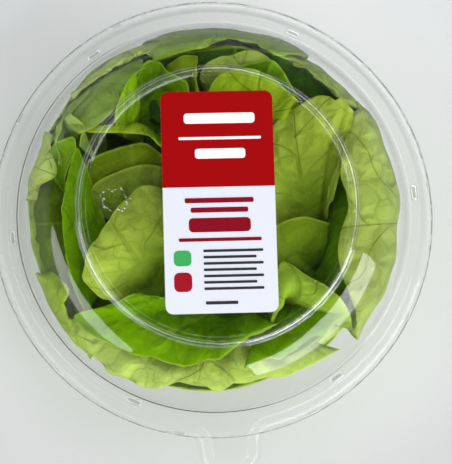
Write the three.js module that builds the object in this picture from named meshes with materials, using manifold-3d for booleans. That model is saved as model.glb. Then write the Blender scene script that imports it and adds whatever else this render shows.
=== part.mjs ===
// A head of butterhead lettuce in a clear round pack, in millimetres.
// +Z is up, the origin is the middle of the flat base, and the lift tab points to -Y.

import * as THREE from 'three';
import { mergeVertices } from 'three/addons/utils/BufferGeometryUtils.js';
import Module from 'manifold-3d';

const wasm = await Module();
wasm.setup();

// Pack sizes
const WALL = 0.6;
const FIT_GAP = 0.3;
const FLANGE_EDGE = 93.5;
const BOWL_LIP = 99;
const PANEL_TOP = 91;
const LIP = 100;
const FLANGE_TOP = 57.9;
const LIP_TOP = 50.9;
const ROUND_SIDES = 40;

// Outside of the lid, from the axis to the lip, as [radius, height]
const LID_TOP = [
  [0, PANEL_TOP], [57.6, PANEL_TOP], [58.7, 91.9], [60, 92.3], [61.4, 91.8], [62.4, 90.2],
  [67, 87.8], [72.5, 84.2], [77.4, 79.2], [81.6, 73.2], [85, 66], [87.3, 60.4],
];
const RIM = [
  [88.5, FLANGE_TOP], [FLANGE_EDGE, FLANGE_TOP], [97, 51.5], [97.7, LIP_TOP], [LIP, LIP_TOP],
];

// Stations past this radius follow the outline of the rim with its tab
const OUTLINE_FROM = 92.5;

// Outside of the bowl, from the axis to just under the rim
const BOWL_WALL = [[0, 0], [57.5, 0], [61.6, 1.2], [64.3, 4.4], [76, 28.4], [87.2, 52], [88.2, 55]];

// Lift tab: a round-cornered tongue that runs out of the rim
const TAB_HALF_WIDTH = 8;
const TAB_END = 109.7;
const TAB_CORNER = 3;
const TAB_FILLET = 12;

// Angles in degrees beside the tab's middle, close together where its corners are
const TAB_TURNS = [1.4, 2.5, 3.3, 4, 4.7, 5.8, 7.2, 9, 10.8];
const TAB_SPREAD = 11;

// Lugs on the lid's flange, and marks on its lip
const LUG_COUNT = 6;
const LUG = { along: 7, across: 2.7, high: 1, radius: 91 };
const MARK_COUNT = 10;
const MARK = { along: 6, across: 1.2, high: 0.7, radius: 98.6, first: -31 };

// Label
const LABEL = { width: 49, height: 97.5, thick: 0.5, corner: 3.5, x: 0.6, y: 1.3, turn: -2.3, sides: 3 };

// Head: a core with the leaves round it, and the cut stem under it
const BLADE = 0.9;
const ROOT_WIDTH = 10;
const BOW_TAPER = 0.6;
const LEAF_GAP = 1.5;
const SMALLEST = 0.05;
const WRAPPER_GRID = [6, 8];
const FREE_GRID = [4, 8];
const LOW_GRID = [5, 6];
const CROWN = [0, 0, 12];
const FLOOR_CLEAR = 2;
const CORE = [[0, 10.5], [22, 11], [44, 20], [55, 36], [54, 50], [44, 60], [30, 66], [14, 72], [0, 73]];
const CORE_SIDES = 16;
const FLANK = { radius: 40, height: 30 };
const WALL_CURVE = [[78, 24], [106, 72]];
const LOW_CURVE = [[105, -4], [105, 60]];
const STAND_OFF = { below: 62, over: 10, most: 3 };
const STEM = { radius: 12.5, low: 0.9, high: 9.7, bevel: 1.2, taper: 0.6, sides: 24 };

// Clear room inside the pack, as [height, radius]
const ROOM = [[1, 60], [4.4, 63.6], [28.4, 75.3], [52, 86.4], [57.5, 87.6], [60.4, 86.6], [66, 84.3],
  [73.2, 80.9], [79.2, 76.8], [84.2, 72], [87.8, 66.5], [90.2, 58]];

// Wrapper leaves, which lie against the wall over a span of angles and fold in at the top.
// A margin is listed from one side of the leaf round its tip to the other side.
const WRAPPERS = [
  { name: 'right', span: [36, -46], gap: 2,
    margin: [[69, 46, 68], [61, 32, 77], [56, 14, 80], [58, -3, 79], [52, -20, 80], [54, -35, 78],
      [58, -47, 73], [60, -60, 64]] },
  { name: 'front', span: [-38, -142], curve: [[70, 22], [82, 52]],
    margin: [[57, -45, 50], [42, -60, 54], [25, -68, 52], [8, -72, 55], [-10, -72, 52], [-27, -68, 55],
      [-43, -59, 52], [-56, -46, 50]] },
  { name: 'back', span: [114, 54], gap: 0.8, curve: [[78, 26], [116, 82]],
    margin: [[-4, 84, 64], [-12, 77, 72], [-23, 68, 78], [-10, 71, 79], [-1, 72, 79], [6, 75, 77],
      [15, 77, 76], [23, 74, 77], [31, 67, 79], [41, 69, 70]] },
  { name: 'back_right', span: [64, 30], gap: 3, curve: [[78, 26], [112, 78]],
    margin: [[27, 68, 70], [32, 67, 76], [40, 69, 75], [45, 66, 76], [50, 61, 77], [58, 57, 76],
      [66, 50, 74], [69, 44, 68]] },
  { name: 'back_low', span: [116, 48], gap: 6,
    margin: [[-26, 72, 66], [-8, 76, 71], [6, 77, 72], [18, 78, 71], [28, 72, 72], [40, 66, 68]] },
  { name: 'upper_left_outer', span: [138, 92], gap: 1.8, curve: [[78, 26], [114, 80]],
    margin: [[-58, 56, 60], [-50, 66, 68], [-38, 70, 72], [-30, 74, 72], [-22, 70, 75], [-12, 78, 70],
      [-2, 84, 62]] },
  { name: 'upper_left', span: [150, 112], gap: 4,
    margin: [[-62, 46, 70], [-57, 38, 77], [-46, 43, 80], [-39, 49, 81], [-35, 56, 81], [-28, 65, 80],
      [-29, 69, 77], [-30, 74, 70], [-38, 70, 66]] },
  { name: 'left_pale', span: [172, 150], gap: 1.4,
    margin: [[-79, 11, 64], [-76, 17, 70], [-71, 20, 73], [-65, 21, 77], [-65, 30, 77], [-70, 41, 70]] },
  { name: 'left_hollow', span: [200, 158], gap: 3,
    margin: [[-72, -27, 60], [-77, -20, 62], [-81, -8, 63], [-82, 3, 63], [-79, 14, 64], [-74, 26, 64]] },
  { name: 'left_low', span: [225, 194], gap: 1.4,
    margin: [[-58, -60, 56], [-66, -50, 66], [-71, -39, 71], [-67, -32, 74], [-71, -25, 71],
      [-78, -22, 62]] },
];

// Free leaves, which bow off the straight way from their root to their margin
const FREE_LEAVES = [
  { name: 'middle_right', root: [44, -30, 52], bow: [0, 0, 8],
    margin: [[20, -44, 62], [15, -36, 68], [16, -22, 72], [24, -14, 72], [35, -12, 70], [48, -14, 64]] },
  { name: 'round_right', root: [46, -10, 54], bow: [-4, -2, 7],
    margin: [[17, -28, 69], [16, -10, 73], [18, 10, 75], [20, 24, 77], [29, 37, 79], [39, 43, 82],
      [48, 47, 83], [57, 46, 82], [62, 49, 79], [65, 41, 75], [60, 20, 70], [56, 2, 66], [53, -18, 62]] },
  { name: 'front_tip', root: [24, -40, 50], bow: [8, -8, 12],
    margin: [[20, -54, 66], [24, -40, 73], [25, -29, 77], [28, -25, 78], [35, -30, 78], [47, -38, 77],
      [55, -47, 73], [58, -56, 62]] },
  { name: 'front_rib', root: [22, -40, 50], bow: [2, -8, 14],
    margin: [[57, -48, 72], [45, -56, 69], [39, -59, 68], [30, -64, 67], [20, -67, 66], [8, -70, 64]] },
  { name: 'front_cup', root: [4, -38, 54], bow: [0, -4, 12],
    margin: [[24, -52, 71], [14, -56, 70], [4, -61, 70], [-6, -66, 69], [-20, -67, 68], [-36, -62, 69],
      [-53, -55, 70], [-66, -43, 70], [-49, -39, 76], [-37, -35, 78], [-24, -38, 78], [-4, -34, 72]] },
  { name: 'front_light', root: [-6, -38, 46], bow: [0, -6, 10],
    margin: [[-66, -44, 68], [-68, -53, 62], [-55, -65, 60], [-41, -75, 60], [-24, -75, 60],
      [-13, -74, 61], [-3, -80, 58], [6, -74, 60], [23, -75, 60], [37, -71, 60], [52, -64, 58]] },
  { name: 'left_cup', root: [-44, 18, 50], bow: [-8, 2, 6],
    margin: [[-68, 25, 74], [-70, 38, 76], [-67, 49, 74], [-62, 47, 77], [-57, 42, 78], [-59, 32, 77]] },
  { name: 'left_blade', root: [-42, -18, 52], bow: [-10, -4, 8],
    margin: [[-60, -44, 66], [-65, -30, 70], [-67, -17, 73], [-68, -1, 76], [-66, 13, 77], [-60, 31, 77],
      [-56, 22, 74], [-52, 8, 68], [-48, -6, 62]] },
  { name: 'olive_low', root: [-32, -4, 54], bow: [0, 0, 8],
    margin: [[-52, 6, 66], [-49, 16, 71], [-40, 18, 74], [-32, 20, 75], [-23, 13, 75], [-14, 6, 72]] },
  { name: 'olive_high', root: [-34, 6, 54], bow: [0, 0, 8],
    margin: [[-58, 16, 66], [-56, 25, 70], [-51, 28, 72], [-40, 31, 74], [-33, 32, 75], [-28, 31, 75],
      [-22, 26, 74], [-14, 18, 70]] },
  { name: 'heart', root: [-24, -34, 54], bow: [-2, -2, 14],
    margin: [[-44, -42, 68], [-55, -33, 74], [-61, -27, 76], [-57, -15, 80], [-53, -9, 82], [-47, -2, 83],
      [-42, 4, 84], [-33, 11, 84], [-22, 9, 84], [-12, 0, 80], [-10, -20, 74]] },
  { name: 'inner_left', root: [-26, 34, 50], bow: [-2, 8, 12],
    margin: [[-60, 42, 70], [-56, 38, 75], [-49, 37, 78], [-40, 36, 80], [-28, 34, 80], [-21, 28, 79],
      [-14, 34, 76]] },
  { name: 'cup_left', root: [-24, 34, 52], bow: [0, 6, 6],
    margin: [[-30, 40, 74], [-40, 40, 80], [-41, 44, 81], [-38, 51, 82], [-28, 66, 80], [-23, 68, 78],
      [-18, 64, 79], [-12, 59, 80], [-9, 54, 80], [-6, 42, 76]] },
  { name: 'olive_top', root: [-10, 36, 52], bow: [0, 6, 10],
    margin: [[-22, 64, 70], [-13, 69, 74], [-4, 70, 76], [-5, 63, 77], [-4, 53, 77], [2, 44, 72]] },
  { name: 'inner_light', root: [12, 34, 52], bow: [0, 8, 10],
    margin: [[-4, 58, 70], [-1, 65, 75], [6, 68, 77], [15, 70, 77], [21, 70, 77], [26, 68, 77],
      [31, 63, 76], [36, 54, 70]] },
  { name: 'inner_dark', root: [18, 30, 52], bow: [0, 6, 10],
    margin: [[6, 58, 76], [14, 63, 79], [24, 65, 80], [30, 64, 80], [34, 59, 80], [37, 53, 79],
      [42, 46, 74]] },
  { name: 'top_heart', root: [16, 20, 56], bow: [0, 2, 10],
    margin: [[-2, 44, 76], [2, 56, 81], [10, 61, 82], [18, 61, 83], [28, 57, 83], [35, 50, 82],
      [40, 43, 79], [40, 32, 72]] },
];

// Big low leaves under the rest, evenly round the bowl
const LOW_LEAVES = { count: 6, first: 12, half: 37, radius: 84, gap: 0.8, next: 1.35 };
const LOW_PARTS = [-1, -0.7, -0.25, 0.25, 0.7, 1];
const LOW_HEIGHT = { middle: 38, swing: 15, lowest: -75, shoulder: 9, wave: 2.5 };

// Looks
const LOOKS = {
  clear: { color: '#dfe6e6', roughness: 0.08, transparent: true, opacity: 0.3 },
  paper: { color: '#d9dce4', roughness: 0.6 },
  leaf: { color: '#6f9a2b', roughness: 0.55 },
  stem: { color: '#d9d7ac', roughness: 0.6 },
};

// Points closer than this become one, and a mitre grows to no more than 1 / MITRE_LEAST
const MERGE = 1e-3;
const MITRE_LEAST = 0.4;

const degrees = THREE.MathUtils.degToRad;

function named(name, geometry, look) {
  const mesh = new THREE.Mesh(geometry, new THREE.MeshStandardMaterial({ metalness: 0, ...look }));
  mesh.name = name;
  return mesh;
}

// Solids

function solidOf(geometry) {
  const bare = geometry.index ? geometry.toNonIndexed() : geometry.clone();
  for (const key of Object.keys(bare.attributes)) {
    if (key !== 'position') bare.deleteAttribute(key);
  }
  const merged = mergeVertices(bare, MERGE);
  return new wasm.Manifold(new wasm.Mesh({
    numProp: 3,
    vertProperties: new Float32Array(merged.attributes.position.array),
    triVerts: new Uint32Array(merged.index.array),
  }));
}

function geometryOf(solid) {
  const mesh = solid.getMesh();
  const geometry = new THREE.BufferGeometry();
  geometry.setAttribute('position', new THREE.BufferAttribute(mesh.vertProperties, 3));
  geometry.setIndex(new THREE.BufferAttribute(mesh.triVerts, 1));
  geometry.computeVertexNormals();
  return geometry;
}

function indexed(points, faces) {
  const geometry = new THREE.BufferGeometry();
  geometry.setAttribute('position', new THREE.Float32BufferAttribute(points.flat(), 3));
  geometry.setIndex(faces.flat());
  return geometry;
}

// Largest body of a solid, after vertices closer than the merge distance have become one
function largestPiece(solid) {
  const welded = solidOf(geometryOf(solid));
  return welded.decompose().sort((a, b) => b.volume() - a.volume())[0];
}

// Profile moved inwards, which is to the right of its run, with mitred corners
function inset(profile, distance) {
  return profile.map(([r, z], i) => {
    const before = profile[Math.max(i - 1, 0)];
    const after = profile[Math.min(i + 1, profile.length - 1)];
    const into = i > 0 ? new THREE.Vector2(r - before[0], z - before[1]).normalize() : null;
    const out = i < profile.length - 1 ? new THREE.Vector2(after[0] - r, after[1] - z).normalize() : null;
    const first = into ?? out;
    const second = out ?? into;
    const side = new THREE.Vector2(first.y + second.y, -first.x - second.x).normalize();
    const mitre = distance / Math.max(side.x * first.y - side.y * first.x, MITRE_LEAST);
    return [Math.max(r + side.x * mitre, 0), z + side.y * mitre];
  });
}

// Distance from the axis to the rim's outline, grown by offset, in direction angle
function rimReach(angle, offset) {
  const round = FLANGE_EDGE + offset;
  const half = TAB_HALF_WIDTH + offset;
  const away = Math.abs(Math.atan2(Math.sin(angle + Math.PI / 2), Math.cos(angle + Math.PI / 2)));
  const filletX = TAB_HALF_WIDTH + TAB_FILLET;
  const filletY = Math.sqrt((FLANGE_EDGE + TAB_FILLET) ** 2 - filletX ** 2);
  const end = TAB_END + offset;
  const cornerX = TAB_HALF_WIDTH - TAB_CORNER;
  const cornerY = TAB_END - TAB_CORNER;
  const arcHit = (x, y, radius, side) => {
    const along = x * Math.sin(away) + y * Math.cos(away);
    const beside = x * Math.cos(away) - y * Math.sin(away);
    return along + side * Math.sqrt(Math.max(radius ** 2 - beside ** 2, 0));
  };
  if (away >= Math.atan2(filletX, filletY)) return round;
  if (away >= Math.atan2(half, filletY)) return arcHit(filletX, filletY, TAB_FILLET - offset, -1);
  if (away >= Math.atan2(half, cornerY)) return half / Math.sin(away);
  if (away >= Math.atan2(cornerX, end)) return arcHit(cornerX, cornerY, TAB_CORNER + offset, 1);
  return end / Math.cos(away);
}

// Shell of revolution whose outer stations follow the outline that reach gives
function shell(stations, angles, reach) {
  const points = [];
  const faces = [];
  const count = angles.length;
  const top = stations[0];
  const low = stations[stations.length - 1];
  const rings = stations.slice(1, -1);
  points.push([0, 0, top[1]], [0, 0, low[1]]);
  for (const [r, z] of rings) {
    for (const angle of angles) {
      const far = r > OUTLINE_FROM ? reach(angle, r - FLANGE_EDGE) : r;
      points.push([far * Math.cos(angle), far * Math.sin(angle), z]);
    }
  }
  const at = (ring, k) => 2 + ring * count + (k % count);
  for (let k = 0; k < count; k += 1) {
    faces.push([0, at(0, k), at(0, k + 1)]);
    for (let ring = 0; ring < rings.length - 1; ring += 1) {
      faces.push([at(ring, k), at(ring + 1, k), at(ring + 1, k + 1)]);
      faces.push([at(ring, k), at(ring + 1, k + 1), at(ring, k + 1)]);
    }
    faces.push([1, at(rings.length - 1, k + 1), at(rings.length - 1, k)]);
  }
  return indexed(points, faces);
}

const even = (count) => Array.from({ length: count }, (_, k) => (k * 2 * Math.PI) / count);
const plainCircle = (angle, offset) => FLANGE_EDGE + offset;

// Lid

function lidAngles() {
  const tab = [-90, ...TAB_TURNS.flatMap((a) => [-90 - a, -90 + a])].map(degrees);
  const wide = even(ROUND_SIDES).map((a) => (a > Math.PI ? a - 2 * Math.PI : a));
  const rest = wide.filter((a) => Math.abs(a + Math.PI / 2) > degrees(TAB_SPREAD));
  return [...tab, ...rest].sort((a, b) => a - b);
}

function block(size, radius, angle, low) {
  const geometry = new THREE.BoxGeometry(size.across, size.along, size.high * 2);
  geometry.translate(radius, 0, low);
  geometry.rotateZ(angle);
  return solidOf(geometry);
}

function makeLid() {
  const outside = [...LID_TOP, ...RIM];
  const inside = inset(outside, WALL).reverse();
  let solid = solidOf(shell([...outside, ...inside], lidAngles(), rimReach));
  for (let k = 0; k < LUG_COUNT; k += 1) {
    solid = solid.add(block(LUG, LUG.radius, (k * 2 * Math.PI) / LUG_COUNT, FLANGE_TOP));
  }
  for (let k = 0; k < MARK_COUNT; k += 1) {
    const angle = degrees(MARK.first) - (k * 2 * Math.PI) / MARK_COUNT;
    solid = solid.add(block(MARK, MARK.radius, angle, LIP_TOP));
  }
  return named('lid', geometryOf(solid), LOOKS.clear);
}

// Bowl

function makeBowl() {
  const rim = inset(RIM, WALL + FIT_GAP);
  const under = inset(RIM, 2 * WALL + FIT_GAP);
  rim[rim.length - 1][0] = BOWL_LIP;
  under[under.length - 1][0] = BOWL_LIP;
  const inside = inset(BOWL_WALL, -WALL).reverse();
  const stations = [...BOWL_WALL, ...under.slice(1), ...rim.slice(1).reverse(), ...inside].reverse();
  const geometry = shell(stations, even(ROUND_SIDES), plainCircle);
  return named('bowl', geometryOf(solidOf(geometry)), LOOKS.clear);
}

// Label

function makeLabel() {
  const { width, height, thick, corner } = LABEL;
  const x = width / 2;
  const y = height / 2;
  const shape = new THREE.Shape();
  shape.moveTo(-x + corner, -y);
  shape.lineTo(x - corner, -y);
  shape.absarc(x - corner, -y + corner, corner, -Math.PI / 2, 0);
  shape.lineTo(x, y - corner);
  shape.absarc(x - corner, y - corner, corner, 0, Math.PI / 2);
  shape.lineTo(-x + corner, y);
  shape.absarc(-x + corner, y - corner, corner, Math.PI / 2, Math.PI);
  shape.lineTo(-x, -y + corner);
  shape.absarc(-x + corner, -y + corner, corner, Math.PI, 1.5 * Math.PI);
  const options = { depth: thick, bevelEnabled: false, curveSegments: LABEL.sides };
  const geometry = new THREE.ExtrudeGeometry(shape, options);
  const mesh = named('label', geometryOf(solidOf(geometry)), LOOKS.paper);
  mesh.position.set(LABEL.x, LABEL.y, PANEL_TOP + FIT_GAP);
  mesh.rotation.z = degrees(LABEL.turn);
  return mesh;
}

// Leaves

function lowLeaf(k) {
  const { count, first, half, radius } = LOW_LEAVES;
  const middle = first + (360 / count) * k;
  const margin = LOW_PARTS.map((across, i) => {
    const angle = degrees(middle + across * half);
    const rise = LOW_HEIGHT.middle - LOW_HEIGHT.swing * Math.cos(angle - degrees(LOW_HEIGHT.lowest));
    const wave = LOW_HEIGHT.wave * Math.sin(4 * k + 3 * i);
    const height = rise - LOW_HEIGHT.shoulder * across ** 4 + wave;
    return [radius * Math.cos(angle), radius * Math.sin(angle), height];
  });
  const gap = LOW_LEAVES.gap + LOW_LEAVES.next * (k % 2);
  const span = [middle - half, middle + half];
  return { name: `low_${k}`, low: true, span, gap, margin, grid: LOW_GRID };
}

function smoothAt(points, t) {
  const spots = points.map((p) => new THREE.Vector3(...p));
  return new THREE.CatmullRomCurve3(spots, false, 'catmullrom').getPoint(t);
}

function cubic(a, b, c, d, t) {
  const s = 1 - t;
  return new THREE.Vector3()
    .addScaledVector(a, s ** 3)
    .addScaledVector(b, 3 * s * s * t)
    .addScaledVector(c, 3 * s * t * t)
    .addScaledVector(d, t ** 3);
}

function roomAt(z) {
  const last = ROOM.length - 1;
  if (z <= ROOM[0][0]) return ROOM[0][1];
  for (let i = 0; i < last; i += 1) {
    const [z0, r0] = ROOM[i];
    const [z1, r1] = ROOM[i + 1];
    if (z <= z1) return r0 + ((r1 - r0) * (z - z0)) / (z1 - z0);
  }
  return ROOM[last][1];
}

function confine(point, gap) {
  const height = THREE.MathUtils.clamp(point.z, FLOOR_CLEAR + gap, PANEL_TOP - WALL - gap - BLADE);
  const across = Math.hypot(point.x, point.y);
  const limit = roomAt(height + gap * 0.5) - gap - BLADE / 2;
  const scale = across > limit ? limit / across : 1;
  return new THREE.Vector3(point.x * scale, point.y * scale, height);
}

function around(radius, angle, height) {
  return new THREE.Vector3(radius * Math.cos(degrees(angle)), radius * Math.sin(degrees(angle)), height);
}

function rootOf(leaf) {
  if (leaf.root) return new THREE.Vector3(...leaf.root);
  if (leaf.low) return new THREE.Vector3(...CROWN);
  return around(FLANK.radius, (leaf.span[0] + leaf.span[1]) / 2, FLANK.height);
}

// Point of a leaf at row u, from root to margin, and column v, from side to side
function leafPoint(leaf, u, v) {
  const tip = smoothAt(leaf.margin, v);
  const ends = [leaf.margin[0], leaf.margin[leaf.margin.length - 1]].map((p) => new THREE.Vector3(...p));
  const across = ends[1].clone().sub(ends[0]).setZ(0).normalize();
  const root = rootOf(leaf).addScaledVector(across, (v - 0.5) * ROOT_WIDTH);
  let first = root.clone().lerp(tip, 1 / 3);
  let second = root.clone().lerp(tip, 2 / 3);
  if (leaf.span) {
    const angle = THREE.MathUtils.lerp(leaf.span[0], leaf.span[1], v);
    const curve = leaf.low ? LOW_CURVE : leaf.curve ?? WALL_CURVE;
    [first, second] = curve.map(([r, z]) => around(r, angle, z));
  } else {
    const bow = new THREE.Vector3(...leaf.bow).multiplyScalar(1 - BOW_TAPER * (2 * v - 1) ** 2);
    first.add(bow);
    second.add(bow);
  }
  const point = cubic(root, first, second, tip, u);
  const under = THREE.MathUtils.clamp((STAND_OFF.below - point.z) / STAND_OFF.over, 0, 1);
  return confine(point, (leaf.gap ?? LEAF_GAP) + (leaf.low ? 0 : STAND_OFF.most * under));
}

function leafSolid(leaf) {
  const [rows, columns] = leaf.grid ?? (leaf.span ? WRAPPER_GRID : FREE_GRID);
  const grid = [];
  for (let i = 0; i <= rows; i += 1) {
    for (let j = 0; j <= columns; j += 1) grid.push(leafPoint(leaf, i / rows, j / columns));
  }
  const at = (i, j) => grid[i * (columns + 1) + j];
  const offsets = grid.map((point, n) => {
    const i = Math.floor(n / (columns + 1));
    const j = n % (columns + 1);
    const down = at(Math.min(i + 1, rows), j).clone().sub(at(Math.max(i - 1, 0), j));
    const over = at(i, Math.min(j + 1, columns)).clone().sub(at(i, Math.max(j - 1, 0)));
    return over.cross(down).normalize().multiplyScalar(BLADE / 2);
  });
  const front = grid.map((point, n) => point.clone().add(offsets[n]).toArray());
  const back = grid.map((point, n) => point.clone().sub(offsets[n]).toArray());
  const faces = [];
  const side = grid.length;
  const quad = (a, b, c, d) => faces.push([a, b, c], [a, c, d]);
  const spot = (i, j) => i * (columns + 1) + j;
  for (let i = 0; i < rows; i += 1) {
    for (let j = 0; j < columns; j += 1) {
      const [a, b, c, d] = [spot(i, j), spot(i, j + 1), spot(i + 1, j + 1), spot(i + 1, j)];
      quad(a, b, c, d);
      faces.push([side + a, side + c, side + b], [side + a, side + d, side + c]);
    }
  }
  const border = [];
  for (let j = 0; j < columns; j += 1) border.push([spot(0, j), spot(0, j + 1)]);
  for (let i = 0; i < rows; i += 1) border.push([spot(i, columns), spot(i + 1, columns)]);
  for (let j = columns; j > 0; j -= 1) border.push([spot(rows, j), spot(rows, j - 1)]);
  for (let i = rows; i > 0; i -= 1) border.push([spot(i, 0), spot(i - 1, 0)]);
  for (const [a, b] of border) quad(b, a, side + a, side + b);
  return solidOf(indexed([...front, ...back], faces));
}

function makeLeaves() {
  const low = Array.from({ length: LOW_LEAVES.count }, (_, k) => lowLeaf(k));
  const profile = CORE.map(([r, z]) => new THREE.Vector2(r, z));
  const core = new THREE.LatheGeometry(profile, CORE_SIDES);
  core.rotateX(Math.PI / 2);
  const blades = [...low, ...WRAPPERS, ...FREE_LEAVES].map(leafSolid);
  const head = wasm.Manifold.union([solidOf(core), ...blades]).simplify(SMALLEST);
  return named('lettuce_leaves', geometryOf(largestPiece(head)), LOOKS.leaf);
}

// Stem

function makeStem() {
  const { radius, low, high, bevel, taper } = STEM;
  const wide = radius - bevel;
  const profile = [[0, low], [wide, low], [radius, low + bevel], [radius - taper, high], [0, high]];
  const spots = profile.map(([r, z]) => new THREE.Vector2(r, z));
  const geometry = new THREE.LatheGeometry(spots, STEM.sides);
  geometry.rotateX(Math.PI / 2);
  return named('lettuce_stem', geometryOf(solidOf(geometry)), LOOKS.stem);
}

const pack = new THREE.Group();
pack.add(makeBowl(), makeLid(), makeLabel(), makeLeaves(), makeStem());

export default pack;
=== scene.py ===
# %% [markdown]
# # A head of lettuce in a clear round pack
#
# The object is a soft, loosely folded head of lettuce that fills a clear bowl with a clear domed
# lid. A paper label lies on the lid's flat top. The CAD part gives the frame: every size and
# place below is in its axes, with +Z up and the lift tab towards -Y. This script dresses that
# frame with leaves, clear plastic and paper, and then sets up the floor, the lamps and the camera.

import math

import bpy
import numpy as np
from mathutils import Matrix, Vector


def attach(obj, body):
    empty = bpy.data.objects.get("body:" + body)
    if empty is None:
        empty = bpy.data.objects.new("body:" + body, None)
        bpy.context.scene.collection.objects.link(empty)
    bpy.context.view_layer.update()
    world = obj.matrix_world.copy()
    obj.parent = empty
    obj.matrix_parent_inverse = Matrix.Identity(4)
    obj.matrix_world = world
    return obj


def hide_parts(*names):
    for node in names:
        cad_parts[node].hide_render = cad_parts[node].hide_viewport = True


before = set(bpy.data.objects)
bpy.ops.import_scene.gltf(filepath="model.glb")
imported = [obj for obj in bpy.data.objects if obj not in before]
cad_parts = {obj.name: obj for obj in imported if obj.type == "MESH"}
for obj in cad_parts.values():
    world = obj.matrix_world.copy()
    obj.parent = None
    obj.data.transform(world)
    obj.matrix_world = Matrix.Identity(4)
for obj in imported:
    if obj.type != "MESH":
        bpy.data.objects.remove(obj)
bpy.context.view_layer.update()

# %% [markdown]
# ## Small helpers
#
# A lettuce is easier to think about in millimetres, so all lists here are in millimetres and a
# mesh is scaled to Blender's metres only when it is made. Colours are written as the red, green
# and blue that a colour picker shows, from 0 to 255, and are turned into the linear values that
# shaders work with. Each piece stands for one CAD node, which it hides, and has its own finish.

# %% Meshes, colours and places
MM = 0.001


def linear(red, green, blue):
    c = np.array([red, green, blue]) / 255
    return np.where(c <= 0.04045, c / 12.92, ((c + 0.055) / 1.055) ** 2.4)


def make_piece(name, points, faces, look, node=None):
    """A smooth mesh from points in millimetres. With a node's name, it stands for that CAD node."""
    mesh = bpy.data.meshes.new(name)
    mesh.from_pydata((np.asarray(points) * MM).tolist(), [], [list(f) for f in faces])
    mesh.polygons.foreach_set("use_smooth", [True] * len(faces))
    mesh.materials.append(look)
    mesh.update()
    piece = bpy.data.objects.new(name, mesh)
    bpy.context.scene.collection.objects.link(piece)
    if node:
        dress(piece, node)
    return piece


def dress(piece, node):
    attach(piece, "root")
    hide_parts(node)


def around(radius, angle, height):
    """The point at a radius, a turn in degrees and a height."""
    turn = math.radians(angle)
    return np.array([radius * math.cos(turn), radius * math.sin(turn), height])


def smooth_along(points, t):
    """Points of a smooth curve through a list of points, at parameters t from 0 to 1."""
    p = np.array(points, float)
    p = np.vstack([2 * p[0] - p[1], p, 2 * p[-1] - p[-2]])
    last = len(points) - 1
    spot = np.clip(np.asarray(t) * last, 0, last - 1e-9)
    i = spot.astype(int)
    w = (spot - i)[:, None]
    a, b, c, d = p[i], p[i + 1], p[i + 2], p[i + 3]
    return 0.5 * (2 * b + (c - a) * w + (2 * a - 5 * b + 4 * c - d) * w**2
                  + (3 * b - a - 3 * c + d) * w**3)


print("Middle grey as a shader sees it:", linear(128, 128, 128).round(3))

# %% Node helpers
def new_material(name):
    look = bpy.data.materials.new(name)
    look.use_nodes = True
    look.node_tree.nodes.clear()
    return look, look.node_tree


def feed(tree, socket, given):
    """Give a socket a value, or link it to the socket that feeds it."""
    if isinstance(given, bpy.types.NodeSocket):
        tree.links.new(given, socket)
    else:
        socket.default_value = given


def add(tree, kind, inputs=None, **settings):
    """A node with its settings and inputs. An input is a value, or the socket that feeds it."""
    node = tree.nodes.new(kind)
    for key, value in settings.items():
        setattr(node, key, value)
    for key, value in (inputs or {}).items():
        feed(tree, node.inputs[key], value)
    return node


def maths(tree, operation, a, b=None, c=None):
    values = {i: v for i, v in enumerate((a, b, c)) if v is not None}
    return add(tree, "ShaderNodeMath", values, operation=operation).outputs[0]


def ramp_up(tree, value, start, end, low=0.0, high=1.0):
    """low below start, high above end, and a soft step between them."""
    node = add(tree, "ShaderNodeMapRange", interpolation_type="SMOOTHSTEP")
    if start > end:
        start, end, low, high = end, start, high, low
    for socket, given in zip(node.inputs[:5], (value, start, end, low, high)):
        feed(tree, socket, given)
    return node.outputs[0]


def mix_colour(tree, factor, a, b, blend="MIX"):
    node = add(tree, "ShaderNodeMix", data_type="RGBA", blend_type=blend)
    feed(tree, node.inputs[0], factor)
    for socket, given in ((node.inputs[6], a), (node.inputs[7], b)):
        feed(tree, socket, given if isinstance(given, bpy.types.NodeSocket) else (*given, 1))
    return node.outputs[2]


def levelled(tree, colour, level):
    """A colour made lighter or darker by a level that a socket gives."""
    grey = add(tree, "ShaderNodeCombineXYZ", {0: level, 1: level, 2: level}).outputs[0]
    return mix_colour(tree, 1.0, colour, grey, "MULTIPLY")


print("Helpers for node trees ready")

# %% [markdown]
# ## The leaf finish
#
# A butterhead leaf is thin and soft. A pale rib runs up its middle, side ribs leave it and bend to
# the margin, and a net of small veins lies between them. Every leaf carries a UV map that is real
# distance: U is how far a point is from the rib and V how far it is from the root, both in
# decimetres. Ribs are drawn from that map. An image could hold them too, but a few Math nodes give
# the same lines at any size and need no file.

# %% Leaf ribs
RIB_PITCH = 22.0
RIB_LEAN = 0.95
RIB_HALF = {"root": 1.5, "margin": 0.32}
MAP_UNIT = 100.0


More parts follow.
